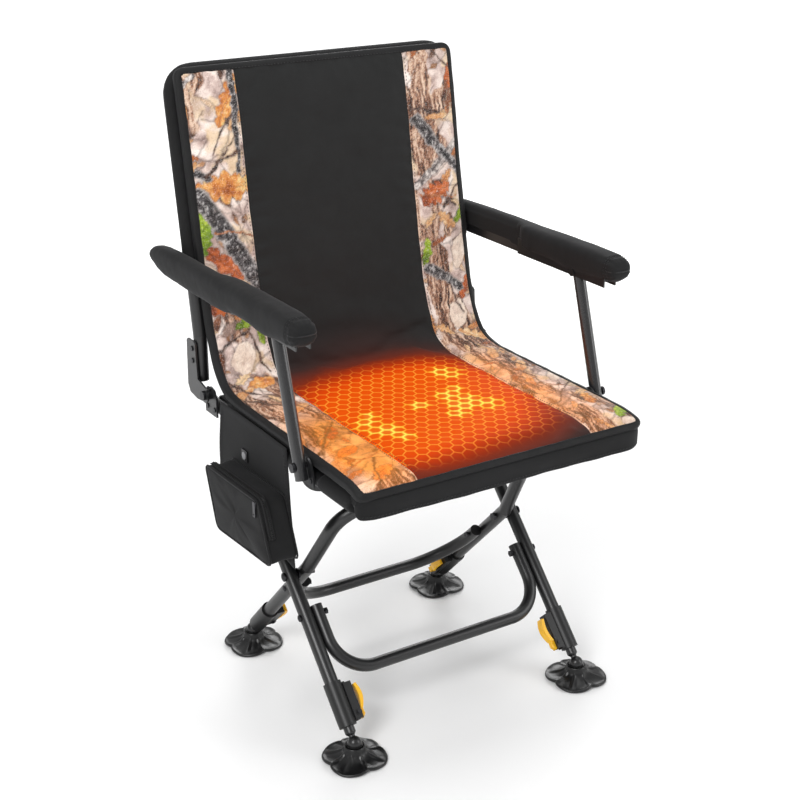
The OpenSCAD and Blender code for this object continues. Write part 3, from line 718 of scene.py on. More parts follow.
# Large leaves: x, s, angle, half length, half width, palette; then lobes and their depth
LEAVES = (
    (-170, 852, 62, 44, 17, ORANGE, 2.4, 0.55), (-246, 815, 84, 60, 7, TAN),
    (-190, 722, 3, 52, 26, ORANGE, 2.4, 0.42), (-178, 600, -52, 34, 13, PALE),
    (-206, 606, -40, 44, 16, RUST, 1.6, 0.45), (-236, 655, 84, 38, 20, GREEN, 2.5, 0.4),
    (-219, 536, 6, 26, 13, RUST, 1.6, 0.4), (-214, 503, 35, 17, 9, GREY),
    (-230, 517, 60, 11, 6, BROWN), (-246, 500, 86, 34, 7, TAN), (-200, 455, 70, 26, 20, PALE),
    (-190, 404, 10, 26, 14, ORANGE, 1.5, 0.35), (-241, 448, 70, 26, 8, BROWN),
    (-184, 508, 12, 22, 9, GREEN, 1.5, 0.35), (-163, 486, -72, 19, 8, GREEN),
    (-226, 388, 30, 26, 9, TAN), (203, 790, 4, 24, 6, TAN), (235, 850, 80, 23, 12, RUST, 1.5, 0.4),
    (224, 830, 72, 17, 5, BROWN), (231, 814, 78, 20, 4.5, BROWN), (243, 824, 86, 28, 5, BROWN),
    (190, 663, 30, 33, 19, RUST, 2.6, 0.5), (244, 706, 80, 15, 8, RUST),
    (238, 624, 50, 24, 10, GREEN, 1.5, 0.35), (206, 616, -35, 24, 11, TAN, 2.5, 0.45),
    (161, 566, 86, 26, 7, GREEN), (226, 560, 70, 30, 15, PALE), (228, 500, 62, 24, 9, RUST, 1.5, 0.4),
    (206, 456, 78, 26, 17, PALE), (222, 414, -25, 30, 12, TAN, 2.4, 0.45),
    (206, 340, 68, 30, 9, TAN), (240, 289, 70, 26, 8, BROWN), (214, 268, 60, 26, 9, TAN),
    (234, 210, 60, 30, 11, PALE), (186, 210, 74, 30, 7, TAN), (215, 100, 66, 28, 11, ORANGE, 2.5, 0.5),
    (229, 40, 58, 21, 10, GREEN, 1.5, 0.45), (231, 14, 10, 17, 9, PALE), (226, 60, 20, 13, 6, GREY),
    (-231, 84, 66, 32, 13, TAN, 2.4, 0.4), (-200, 120, 40, 26, 11, ORANGE),
    (-238, 190, 76, 30, 9, TAN), (-190, 40, 30, 28, 12, ORANGE, 2.4, 0.45),
    (-184, 190, 64, 28, 10, RUST, 1.5, 0.4), (-226, 250, 60, 22, 11, PALE),
    (-230, 20, 20, 22, 10, PALE), (-174, 300, 40, 22, 9, TAN, 2.5, 0.4))
# Branches: x and s of one end, x and s of the other, half width, tone
BRANCHES = (
    (250, 752, 156, 676, 7.5, "grey"), (164, 786, 252, 680, 8.0, "dark"),
    (164, 786, 190, 752, 10.5, "dark"), (-234, 712, -146, 556, 14.5, "dark"),
    (-222, 896, -252, 862, 2.8, "grey"), (-158, 905, -162, 800, 5.0, "dark"),
    (-161, 800, -165, 745, 4.2, "dark"), (-232, 746, -214, 738, 6, "dark"),
    (165, 540, 216, 503, 9.0, "dark"), (-165, 830, -190, 806, 1.3, "twig"),
    (-190, 806, -204, 770, 1.2, "twig"), (-163, 802, -188, 768, 1.1, "twig"),
    (-160, 774, -199, 759, 1.7, "twig"), (-199, 759, -217, 738, 2.1, "twig"),
    (-214, 655, -152, 641, 1.2, "rusty"), (-180, 497, -250, 466, 1.6, "twig"),
    (-181, 492, -166, 424, 1.6, "twig"), (157, 807, 206, 797, 1.9, "twig"),
    (198, 905, 240, 862, 1.2, "twig"), (246, 681, 214, 652, 1.9, "twig"),
    (214, 652, 205, 640, 2.5, "twig"), (197, 508, 216, 458, 1.5, "twig"),
    (160, 662, 236, 655, 1.1, "rusty"), (218, 160, 262, 132, 2.3, "rusty"),
    (196, 178, 226, 150, 1.4, "rusty"), (-240, 420, -170, 330, 1.8, "twig"),
    (-248, 395, -190, 300, 1.4, "twig"), (-205, 360, -160, 262, 1.2, "twig"),
    (-243, 340, -216, 210, 1.9, "twig"), (-160, 230, -236, 130, 1.5, "twig"),
    (-248, 60, -160, 100, 1.3, "rusty"), (-214, 6, -180, 84, 1.6, "twig"),
    (170, 330, 248, 230, 1.3, "twig"), (165, 110, 240, 178, 1.2, "twig"),
    (176, 420, 240, 330, 1.6, "twig"))
# Strips of bark: the same columns without the tone
BARK_STRIPS = (
    (176, 925, 180, 812, 17), (170, 735, 168, 700, 10), (177, 560, 182, 470, 22),
    (-237, 885, -231, 822, 6), (181, 606, 170, 590, 12), (178, 450, 190, 300, 16),
    (180, 70, 176, -5, 15), (-216, 300, -236, 400, 14), (-160, 245, -185, 330, 14),
    (212, 620, 205, 590, 8))


class Print:
    """The print's linear colour at points (across, along), laid down layer by layer."""

    def __init__(self, across, along):
        self.across, self.along = across, along
        bend_u = layered_noise(across, along, 24, 3) - 0.5
        bend_v = layered_noise(across + 310, along - 170, 24, 5) - 0.5
        fray_u = layered_noise(across, along, 6, 11, 3) - 0.5
        fray_v = layered_noise(across + 90, along, 6, 12, 3) - 0.5
        # the same places, warped so that drawn outlines come out ragged
        self.u = across + bend_u * 12 + fray_u * 3.4
        self.v = along + bend_v * 12 + fray_v * 3.4
        self.middle = layered_noise(self.u, self.v, 20, 22, 5, 0.6)
        self.fine = layered_noise(across, along, 5.2, 23, 3, 0.6)
        self.grit = value_noise(across / 2.1, along / 2.1, 31)

    def paint(self, mask, colour):
        self.colour = over(self.colour, mask, colour)

    def segment_distance(self, x1, s1, x2, s2):
        dx, dy = x2 - x1, s2 - s1
        t = ((self.u - x1) * dx + (self.v - s1) * dy) / (dx * dx + dy * dy)
        t = np.clip(t, 0, 1)
        return np.hypot(self.u - x1 - t * dx, self.v - s1 - t * dy)

    def ground(self):
        broad = layered_noise(self.u, self.v, 60, 21)
        tint = layered_noise(self.u, self.v, 34, 25, 3)
        self.colour = tones(self.middle, stops(
            (0.26, 160, 142, 140), (0.40, 206, 188, 186), (0.52, 234, 222, 220),
            (0.70, 250, 244, 244)))
        self.paint(smoothstep(tint, 0.54, 0.70) * 0.65, linear(230, 206, 164))
        self.paint(smoothstep(broad, 0.44, 0.30) * 0.6, linear(180, 160, 156))

    def litter(self, cell, seed, length, width, share, palette, lobes):
        """One small leaf in a share of the square cells, with its own place, turn and tone."""
        column, row = np.floor(self.u / cell), np.floor(self.v / cell)
        for dy in (-1, 0, 1):
            for dx in (-1, 0, 1):
                left, low = column + dx, row + dy
                place_u, place_v, turn, tone, chance, size = (
                    cell_random(left, low, seed + i) for i in range(6))
                present = chance < share
                turn, size = turn * 6.283, 0.7 + 0.6 * size
                a, b = self.u - (left + place_u) * cell, self.v - (low + place_v) * cell
                x = (a * np.cos(turn) + b * np.sin(turn)) / size
                y = (b * np.cos(turn) - a * np.sin(turn)) / size
                q = np.clip(x / length, -1, 1)
                inside = leaf_width(q, 0.75, width, lobes, 0.5) - np.abs(y)
                blade = tones(np.clip(tone + (self.fine - 0.5) * 0.5 + q * 0.12, 0, 1), palette)
                veins = 0.55 * smoothstep(np.sin((x + np.abs(y)) * 1.05), 0.75, 1.0)
                rib = np.maximum(smoothstep(np.abs(y), 1.0, 0.3), veins)
                blade = over(blade, rib * 0.45, linear(84, 54, 38))
                blade = over(blade, smoothstep(inside, 1.8, 0.2) * 0.5, linear(58, 40, 32))
                body = smoothstep(inside, 0, 0.9)
                shadow = smoothstep(inside, -2.6, 0) * present
                self.paint(shadow * (1 - body) * 0.55, linear(78, 62, 58))
                self.paint(body * present, blade)

    def bark(self):
        streak = layered_noise(self.u / 3.0, self.v / 26.0, 1.0, 51, 5, 0.65)
        colour = tones(streak + (self.grit - 0.5) * 0.12, stops(
            (0.30, 44, 32, 29), (0.42, 104, 70, 55), (0.52, 168, 128, 106),
            (0.66, 228, 204, 186)))
        patch = layered_noise(self.u + 130, self.v * 0.6 + 77, 44, 52, 2)
        patch = smoothstep(patch, 0.60, 0.64)
        for *ends, width in BARK_STRIPS:
            distance = self.segment_distance(*ends) + (self.middle - 0.5) * 9
            patch = np.maximum(patch, smoothstep(distance, width + 1.0, width - 1.0))
        self.paint(patch, colour)

    def leaf(self, centre_x, centre_s, angle, length, width, palette, lobes=0, depth=0):
        blade_tones, rib_colour, edge_colour = palette
        c, s = math.cos(math.radians(angle)), math.sin(math.radians(angle))
        x = (self.u - centre_x) * c + (self.v - centre_s) * s
        y = (self.v - centre_s) * c - (self.u - centre_x) * s
        y = y + 0.06 * width * np.sin(x / length * 3)
        q = np.clip(x / length, -1, 1)
        inside = leaf_width(q, 0.7, width, lobes, depth) + (self.fine - 0.5) * 2.4 - np.abs(y)
        inside = np.where(np.abs(x) < length, inside, -9)
        blade = tones(self.middle * 0.5 + self.fine * 0.4 + 0.05 + q * 0.05, blade_tones)
        veins = 0.6 * smoothstep(np.sin((x + np.abs(y) * 1.1) * 0.78), 0.8, 1.0)
        rib = np.maximum(smoothstep(np.abs(y), 1.3, 0.4), veins)
        blade = over(blade, rib * 0.5, rib_colour)
        blade = over(blade, smoothstep(inside, 2.2, 0.3) * 0.5, edge_colour)
        body = smoothstep(inside, 0, 0.8)
        self.paint(smoothstep(inside, -3.4, 0) * (1 - body) * 0.5, linear(80, 66, 62))
        self.paint(body, blade)

    def branches(self):
        fine, rough = self.fine, self.grit - 0.5
        palette = {
            "dark": tones(fine + rough * 0.35, stops(
                (0.28, 30, 29, 32), (0.48, 58, 56, 60), (0.64, 98, 98, 104),
                (0.80, 190, 194, 200))),
            "grey": tones(fine + rough * 0.2, stops(
                (0.3, 88, 84, 86), (0.5, 166, 162, 164), (0.66, 228, 226, 228))),
            "twig": tones(fine, stops((0.35, 44, 32, 30), (0.62, 104, 78, 68))),
            "rusty": tones(fine, stops((0.3, 136, 74, 42), (0.6, 198, 136, 94)))}
        # rim light along a thick branch: strength, colour
        rims = {"dark": (0.55, linear(206, 204, 208)), "grey": (0.3, linear(70, 66, 68))}
        for *ends, width, tone in BRANCHES:
            distance = self.segment_distance(*ends) + (fine - 0.5) * min(3.4, width * 0.9)
            self.paint(smoothstep(distance, width + 3.0, width) * 0.35, linear(76, 64, 62))
            colour = palette[tone]
            if width > 4:
                strength, rim = rims[tone]
                edge = smoothstep(distance, width * 0.62, width * 0.98)
                colour = over(colour, edge * strength, rim)
            self.paint(smoothstep(distance, width + 0.6, width - 0.6), colour)

    def specks(self):
        self.paint(smoothstep(self.grit, 0.86, 0.97) * 0.4, linear(90, 72, 66))
        self.paint(smoothstep(self.grit, 0.12, 0.03) * 0.35, linear(252, 246, 244))


def camouflage(across, along):
    cloth = Print(across, along)
    cloth.ground()
    cloth.litter(cell=24, seed=40, length=11, width=4.2, share=0.36, lobes=0, palette=stops(
        (0.0, 62, 44, 38), (0.3, 118, 84, 66), (0.5, 170, 126, 94), (0.7, 206, 160, 120),
        (1.0, 232, 210, 186)))
    cloth.bark()
    cloth.litter(cell=38, seed=300, length=16, width=6.2, share=0.26, lobes=2.5, palette=stops(
        (0.0, 150, 82, 44), (0.35, 198, 126, 72), (0.6, 226, 172, 116), (1.0, 238, 214, 178)))
    for row in LEAVES:
        cloth.leaf(*row)
    cloth.branches()
    cloth.specks()
    return cloth.colour


# ---------------------------------------------------------------- painted glow over the pad
# Soft blobs: x, s, radius across, radius along, strength
GLOW = ((-25, 200, 235, 175, 1.25), (-115, 150, 90, 120, 0.5), (60, 250, 130, 110, 0.4),
        (-10, 430, 170, 85, 0.36))
SPILL = ((-180, 150, 60, 130, 1.4), (165, 150, 42, 150, 0.8), (-200, 60, 60, 60, 0.35),
         (170, 300, 30, 60, 0.5))
# Brightest spots of the painted glow: x, s, size
SPOTS = ((-126, 190, 17), (-112, 160, 20), (-104, 128, 16), (-108, 215, 13), (-20, 213, 15),
         (92, 305, 22), (45, 222, 20), (40, 184, 22), (17, 160, 15), (74, 166, 18), (58, 200, 16),
         (66, 240, 12))


def blob(x, s, centre_x, centre_s, radius_x, radius_s):
    return np.exp(-(((x - centre_x) / radius_x) ** 2 + ((s - centre_s) / radius_s) ** 2))


def painted_glow_fields(x, s):
    """Painted glow of the centre panel, its brightest spots, and painted warm light spilt on the print."""
    glow, spill = (np.clip(sum(blob(x, s, *place) * strength for *place, strength in table), 0, 1)
                   for table in (GLOW, SPILL))
    glow = (glow * (0.42 + 0.58 * smoothstep(s, -40, 70)) * (0.22 + 0.78 * smoothstep(s, 440, 330))
            * smoothstep(s, 560, 440) * (0.80 + 0.20 * smoothstep(x, 150, 70)))
    spots = np.zeros_like(x)
    for centre_x, centre_s, size in SPOTS:
        spots = np.maximum(spots, blob(x, s, centre_x, centre_s, size * 1.45, size * 1.45))
    spots = spots * (0.72 + 0.45 * smoothstep(layered_noise(x, s, 11, 71, 2), 0.3, 0.6))
    return np.stack([glow, spots, spill], 1)


# ---------------------------------------------------------------- the pad's material
def hexagon_edge(u, v, radius):
    """Distance from the centre of the nearest hexagon in a turned honeycomb (mm)."""
    root = math.sqrt(3)
    # turned by about 32 degrees; 3000 keeps the values above zero
    a = u * 0.8465 - v * 0.5324 + 3000
    b = u * 0.5324 + v * 0.8465 + 3000

    def from_centre(a, b):
        x, y = (((value / period + 0.5).math("FRACT") * period - period / 2).abs()
                for value, period in ((a, 3 * radius), (b, root * radius)))
        return y.max(x * (root / 2) + y * 0.5)

    return from_centre(a, b).min(from_centre(a + 1.5 * radius, b + root * radius / 2))


def pad_material():
    """Camouflage sides, black underside, and a centre panel glowing in a honeycomb."""
    shader = Shader("camo_pad")
    mix = shader.mix
    u, v, front = shader.split(shader.attribute("pad_uv"))
    # painted glow of the centre panel, its brightest spots, and painted warm light spilt on the print beside it
    glow_level, spots, spill = shader.split(shader.attribute("pad_painted_glow"))
    combine = shader.node("ShaderNodeCombineXYZ")
    shader.feed(u, combine.inputs[0])
    shader.feed(v, combine.inputs[1])
    at = Signal(shader, combine.outputs[0])

    def noise_2d(size, detail, roughness):
        return shader.noise(at, scale=1 / size, detail=detail, roughness=roughness,
                            dimensions="2D")

    speckle = noise_2d(size=1.5, detail=2, roughness=0.5)
    across = u.abs()
    colour = mix(1.0, shader.attribute("pad_print"), (0.87, 0.81, 0.74, 1), "MULTIPLY")
    colour = mix(speckle.step(start=0.60, end=0.72) * 0.5, colour,
                 mix(1.0, colour, (0.32, 0.27, 0.25, 1), "MULTIPLY"))
    colour = mix(speckle.step(start=0.40, end=0.30) * 0.3, colour, linear(250, 244, 242))
    # black centre panel and black underside
    fibres = noise_2d(size=1.1, detail=3, roughness=0.6)
    patches = noise_2d(size=60, detail=4, roughness=0.6)
    black = mix((fibres * 0.5 + patches * 0.5).clamp(),
                (0.0045, 0.0047, 0.0048, 1), (0.0135, 0.014, 0.0142, 1))
    is_front = front.above(0.5)
    is_print = across.above(PAD_SEAM + 0.6) * is_front
    colour = mix(is_print, black, colour)
    # glowing honeycomb
    radius = 11.2
    inner = math.sqrt(3) * radius / 2
    edge = hexagon_edge(u, v, radius)
    line = edge.step(start=inner - 1.7, end=inner - 0.6)
    soft_line = edge.step(start=inner - 5.0, end=inner - 0.5)
    comb_area = v.step(start=410, end=350) * v.step(start=14, end=46)
    field = shader.ramp(glow_level, [(0.0, (0.008, 0.007, 0.007, 1))] + stops(
        (0.16, 58, 28, 22), (0.34, 120, 40, 18), (0.55, 180, 52, 6), (0.8, 222, 68, 0),
        (1.0, 232, 82, 0)))
    lines = shader.ramp(glow_level, stops((0.25, 112, 46, 18), (0.42, 186, 86, 34),
                                    (0.65, 234, 124, 36), (1.0, 248, 148, 44)))
    glow = mix(line * comb_area * glow_level.step(start=0.22, end=0.45), field, lines)
    yellow = shader.ramp(spots * 0.9 + soft_line * 0.28, stops(
        (0.25, 240, 90, 20), (0.6, 252, 176, 36), (1.0, 255, 236, 92)))
    yellow_share = spots.step(start=0.22, end=0.62) * (line * 0.6 + soft_line * 0.5 + 0.12)
    glow = mix(yellow_share.clamp() * comb_area, glow, yellow)
    is_centre = (1 - across.above(PAD_SEAM + 0.6)) * is_front
    colour = mix(is_centre * glow_level.step(start=0.02, end=0.2), colour, glow)
    # warm light on the print beside it
    colour = mix(spill * is_print * 0.9, colour,
                 mix(1.0, colour, linear(255, 168, 56), "MULTIPLY"))
    colour = mix(spill * is_print * 0.22, colour, linear(240, 150, 28))
    lit = is_centre * glow_level.step(start=0.05, end=0.45)
    thread_turn = math.pi / 1.1
    weave = (u * thread_turn).sin() * (v * thread_turn).sin() * 0.5 + 0.5
    # painted glow: dark base colour and emission where the centre panel glows, weaker emission for the light spilt
    # on the print
    shader.surface({
        "Base Color": mix(lit * 0.88, colour, (0, 0, 0, 1)),
        "Emission Color": colour,
        "Emission Strength": lit * 0.92 + spill * is_print * 0.34,
        "Roughness": fibres * 0.14 + 0.66,
        "Specular IOR Level": lit * -0.19 + 0.25,
        "Sheen Weight": lit * -0.04 + 0.04,
        "Sheen Roughness": 0.5})
    lumps = noise_2d(size=30, detail=4, roughness=0.55)
    shader.bump(weave * 0.45 + fibres * 0.5 + lumps * 6, distance=0.00018, strength=0.8)
    return shader.material


MATERIALS["camo_pad"] = pad_material()


# ---------------------------------------------------------------- the pad's pieces
def cubic_rows(grid, places):
    """Catmull-Rom sampling of a grid at fractional row numbers."""
    last = len(grid) - 1
    i = np.clip(np.floor(places).astype(int), 0, last - 1)
    f = (places - i).reshape((-1,) + (1,) * (grid.ndim - 1))
    p0, p1, p2, p3 = (grid[np.clip(i + k, 0, last)] for k in (-1, 0, 1, 2))
    return 0.5 * (2 * p1 + (p2 - p0) * f + (2 * p0 - 5 * p1 + 4 * p2 - p3) * f ** 2
                  + (3 * p1 - p0 - 3 * p2 + p3) * f ** 3)


def build_pad(grids):
    """The settled pad on a finer grid, so that the print's edges stay crisp."""
    fine_x, fine_s = pad_columns(53), np.linspace(0, PAD_LENGTH, 470)
    rows = np.interp(fine_s, CORE_S, np.arange(len(CORE_S)))
    columns = np.interp(fine_x, CORE_X, np.arange(len(CORE_X)))
    points = np.concatenate([
        np.swapaxes(cubic_rows(np.swapaxes(cubic_rows(grid, rows), 0, 1), columns), 0, 1)
        .reshape(-1, 3) for grid in grids])
    faces = closed_grid(len(fine_s), len(fine_x), alternate=False)
    pad = add_mesh("seat_and_back_pad", (points, faces), "camo_pad")
    x, s = (field.ravel() for field in np.meshgrid(fine_x, fine_s))
    both_x, both_s = np.tile(x, 2), np.tile(s, 2)
    is_front = np.r_[np.ones(x.size), np.zeros(x.size)]
    # the print's colour, and the painted glow of the centre panel with the warm light it spills on the print
    for name, values in (("pad_uv", np.stack([both_x, both_s, is_front], 1)),
                         ("pad_print", np.tile(camouflage(x, s), (2, 1))),
                         ("pad_painted_glow", painted_glow_fields(both_x, both_s))):
        attribute = pad.data.attributes.new(name, "FLOAT_VECTOR", "POINT")
        attribute.data.foreach_set("vector", values.astype(np.float32).ravel())
    register(pad, replaces=("seat_pad", "back_pad", "heater_pad"))
    return pad


def rounded_loop(inset, radius, step):
    """Closed outline (x, s) at a distance in from the pad's edge."""
    x, low, high = PAD_HALF_WIDTH - inset - radius, inset + radius, PAD_LENGTH - inset - radius
    corners = ((x, low, -90), (x, high, 0), (-x, high, 90), (-x, low, 180))
    return resample([(cx + radius * math.cos(math.radians(a)),
                      cy + radius * math.sin(math.radians(a)))
                     for cx, cy, start in corners for a in np.linspace(start, start + 90, 7)],
                    step, closed=True)


# Half the tape's section after its outermost point: reach beyond the edge, lift off the pad
TAPE_SECTION = ((1.2, 0.0), (0.2, 1.6), (-2, 1.6), (-5, 1.6), (-8.6, 1.1), (-10.2, -1.4))


def build_binding():
    """Binding tape round the pad's edge."""
    loop = rounded_loop(0, 13, 7.0)
    tangents = np.roll(loop, -1, 0) - np.roll(loop, 1, 0)
    tangents /= np.linalg.norm(tangents, axis=1)[:, None]
    half = [(reach, float(pad_half(-reach)) + lift) for reach, lift in TAPE_SECTION]
    section = [(1.6, 0.0)] + half + [(reach, -height) for reach, height in half[::-1]]
    reach, height = np.array(section).T
    rings = []
    for i, ((x, s), (dx, ds)) in enumerate(zip(loop, tangents)):
        ripple = 0.35 * math.sin(i * 0.9) + 0.25 * math.sin(i * 2.3 + 1)
        rings.append(pad_point(x + ds * reach, s - dx * reach,
                               height + np.where(np.abs(height) > 2, ripple, 0)))
    binding = add_mesh("pad_binding_tape", loft(rings, loop=True), "binding")
    subdivide(binding)
    register(binding)
    return binding


def on_pad(front, x, s):
    """Points on the settled front face of the pad."""
    j = np.clip(np.interp(s, CORE_S, np.arange(len(CORE_S))), 0, len(CORE_S) - 1.001)
    i = np.clip(np.interp(x, CORE_X, np.arange(len(CORE_X))), 0, len(CORE_X) - 1.001)
    j0, i0 = j.astype(int), i.astype(int)
    fj, fi = (j - j0)[:, None], (i - i0)[:, None]
    return (front[j0, i0] * (1 - fi) * (1 - fj) + front[j0, i0 + 1] * fi * (1 - fj)
            + front[j0 + 1, i0] * (1 - fi) * fj + front[j0 + 1, i0 + 1] * fi * fj)


def build_pad_stitching(front):
    """One row round the binding and two along each panel seam."""
    inset = 7.2
    loop = rounded_loop(inset, 8, 6.0)
    x, s = np.vstack([loop, loop[:1]]).T
    shapes = [stitches(pad_point(x, s, pad_half(inset) + 1.35), pad_normal(s))]
    s = np.arange(13, PAD_LENGTH - 12, 6.0)
    for side in (-1, 1):
        for shift in (-3.0, 3.4):
            path = on_pad(front, np.full(len(s), side * (PAD_SEAM + shift)), s)
            shapes.append(stitches(path, pad_normal(s), length=3.0, gap=2.6, radius=0.45,
                                   lift=0.1))
    thread = add_mesh("pad_stitching", join(shapes), "thread")
    register(thread)
    return thread


pad_grids = settled_pad()
for part in (build_pad(pad_grids), build_binding(), build_pad_stitching(pad_grids[0])):
    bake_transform(part)


# ---------------------------------------------------------------- seat sling and front hem
def build_sling():
    """Seat cloth with sleeves round the side tubes and the rear tube."""
    corners = ((-236, -252), (236, -252), (236, 182), (-236, 182))
    shapes = [loft([[(x, y, z) for x, y in corners] for z in (464.5, 470.5)])]
    angles = np.linspace(0, 2 * math.pi, 16, endpoint=False)
    for side in (-1, 1):
        for stretch in ((-252, -200, -164), (-118, 0, 142)):
            shapes.append(cord([(side * SEAT_RAIL_X, y, SEAT_RAIL_Z) for y in stretch],
                               SEAT_SLEEVE_RADIUS, sides=20))
        # flat bridge across the gap between the two sleeves
        shapes.append(loft([[(side * 228 + 6 * math.cos(a), y, 467 + 3.4 * math.sin(a))
                             for a in angles] for y in (-168, -114)]))
    shapes.append(cord([(x, 192, SEAT_RAIL_Z) for x in np.linspace(-205, 205, 20)],
                       SEAT_SLEEVE_RADIUS, sides=20))
    sling = fused("seat_sling_sleeves", shapes, voxel=4.2, smoothing=3)
    points = get_points(sling.data)
    x, y = points[:, 0], points[:, 1]
    flat = (np.abs(x) < 222) & (y > -246) & (y < 172)
    sag = np.where(flat, np.cos(np.clip(x / 224, -1, 1) * math.pi / 2)
                   * np.clip((y + 246) / 90, 0, 1) * np.clip((174 - y) / 90, 0, 1), 0)
    points[:, 2] -= 4.5 * sag
    lumps = wobble(points * [1, 0.35, 1], height=1.1, size=26, seed=1.7)
    points += (lumps * np.where(flat, 1.0, 0.5))[:, None] * np.array([0.2, 0.2, 1.0])
    set_points(sling, points)
    register(sling, "seat", ["seat_sling"])


# Round the hem's section: y, z, share of the upper wave, share of the lower wave
HEM_SECTION = np.array((
    (-250, 471.2, 0, 0), (-262, 472.4, 0, 0), (-271, 471.8, 0, 0), (-277.4, 468.6, 0, 0),
    (-279.2, 464, 0.2, 0), (-279.4, 456, 0.5, 0), (-278.9, 448, 0, 0.8), (-278.6, 443, 0, 1),
    (-277.8, 440.6, 0, 1), (-276.0, 440.0, 0, 1), (-274.6, 441.4, 0, 1), (-275.0, 448, 0, 1),
    (-275.4, 456, 0.6, 0), (-274.2, 462.5, 0, 0), (-270.5, 468.0, 0, 0), (-262, 469.3, 0, 0),
    (-250, 468.4, 0, 0)))


def hem_lower_wave(x):
    return 1.5 * math.sin(x / 41.0) + 0.6 * math.sin(x / 9.3 + 0.6)


def hem_turn(x):
    """How far the hem bends back near its ends."""
    return max(0.0, 1 - (HEM_HALF_WIDTH - abs(x)) / 30) ** 2 * 13


def build_hem():
    """Cloth carried over the front tube and down to a stitched lower edge."""
    y0, z, upper, lower = HEM_SECTION.T
    rings = []
    for x in np.r_[-247, -246.4, -243, np.linspace(-236, 236, 76), 243, 246.4, 247]:
        from_end = HEM_HALF_WIDTH - abs(x)
        size = 0.35 if from_end < 0.3 else (0.8 if from_end < 1 else 1.0)
        upper_wave = (1.3 * math.sin(x / 33.0 + 1.2) + 0.7 * math.sin(x / 12.7)
                      + 0.4 * math.sin(x / 6.1 + 2))
        y = y0 + upper * upper_wave + lower * hem_lower_wave(x)
        rings.append(np.stack([
            np.full(len(y), x),
            y.mean() + (y - y.mean()) * size + hem_turn(x) * np.where(z > 470, 0.5, 1.0),
            z.mean() + (z - z.mean()) * size], 1))
    hem = add_mesh("front_hem_cloth", loft(rings), "black_fabric")
    subdivide(hem)
    register(hem, "seat", ["front_hem"])
    path = [(x, -279.6 + 0.65 * hem_lower_wave(x) + hem_turn(x), 446.4)
            for x in np.linspace(-243, 243, 110)]
    thread = add_mesh("front_hem_stitching", stitches(path, (0.0, -1.0, 0.0)), "thread")
    register(thread, "seat")


# ---------------------------------------------------------------- back sleeve
def rail(t):
    return KINK * (1 - t) + TOP * t


def build_back_sleeve():
    """Cloth over the back frame: a padded rim and two overlapping flat sheets."""
    rail_length = np.linalg.norm(TOP - KINK)
    up = (TOP - KINK) / rail_length
    backward = np.array((0, -up[2], up[1]))    # square to the rails
    start = 0.215                              # where the sleeve begins along the rail
    mirror = np.array((-1, 1, 1))
    left = [rail(t) for t in np.linspace(start, 1 - BACK_CORNER / 404, 12)]
    across = np.array((BACK_CORNER, 0, 0))
    centre = TOP - up * BACK_CORNER - across
    corner = [centre + across * math.cos(a) + up * BACK_CORNER * math.sin(a)
              for a in (math.radians(angle) for angle in np.linspace(0, 90, 9))]
    outline = (left + corner + [np.array((x, TOP[1], TOP[2])) for x in np.linspace(190, -190, 24)]
               + [point * mirror for point in corner[::-1]]
               + [point * mirror for point in left[::-1]])
    shapes = [cord(resample(outline, 8), 13.2, sides=20, up=backward)]

    def sheet_ring(y, z, half_width, half_thick):
        return [np.array((side * half_width, y, z)) + backward * height
                for side, height in ((-1, -half_thick), (1, -half_thick),
                                     (1, half_thick), (-1, half_thick))]

    rings = []
    for t in np.linspace(start, 0.985, 12):
        x, y, z = rail(t)
        rings.append(sheet_ring(y, z, x - 2 - (14 if t > 0.95 else 0), 6))
    shapes.append(loft(rings))
    rings = []
    for t in np.linspace(-0.13, 0.25, 6):
        _, y, z = rail(t) if t >= 0 else (251, 205 - (-t) * 60, 565 - (-t) * 404)
        rings.append(sheet_ring(y - 6, z, 233 - 3 * (1 - min(1, max(0, (t + 0.13) / 0.1))), 4.5))
    shapes.append(loft(rings))
    sleeve = fused("back_sleeve", shapes, voxel=4.6, smoothing=4)

    points = get_points(sleeve.data)
    x = np.abs(points[:, 0])
    t = (points - KINK) @ up / rail_length
    depth = (points[:, 1] - (KINK[1] + (TOP - KINK)[1] * np.clip(t, -0.2, 1))) * backward[1]
    middle = np.clip((232 - x) / 40, 0, 1) * np.clip((0.97 - t) / 0.1, 0, 1)
    pin = np.where((x > 224) | (t > 0.95) | (depth > 0), 0.8, 0.0)
    wrinkles = (wobble(points * [1, 1, 0.5], height=2.2, size=48, seed=5.0)
                + wobble(points, height=0.8, size=17, seed=2.0))
    points += backward * (wrinkles * middle * 0.9)[:, None]
    points += backward * (np.where(depth < 0, 3.0, 0) * middle)[:, None]
    set_points(sleeve, points)
    settle(sleeve, pin, pressure=2.0, limit=3.2, frame_count=10)
    subdivide(sleeve)
    register(sleeve, "back", ["back_sling"])


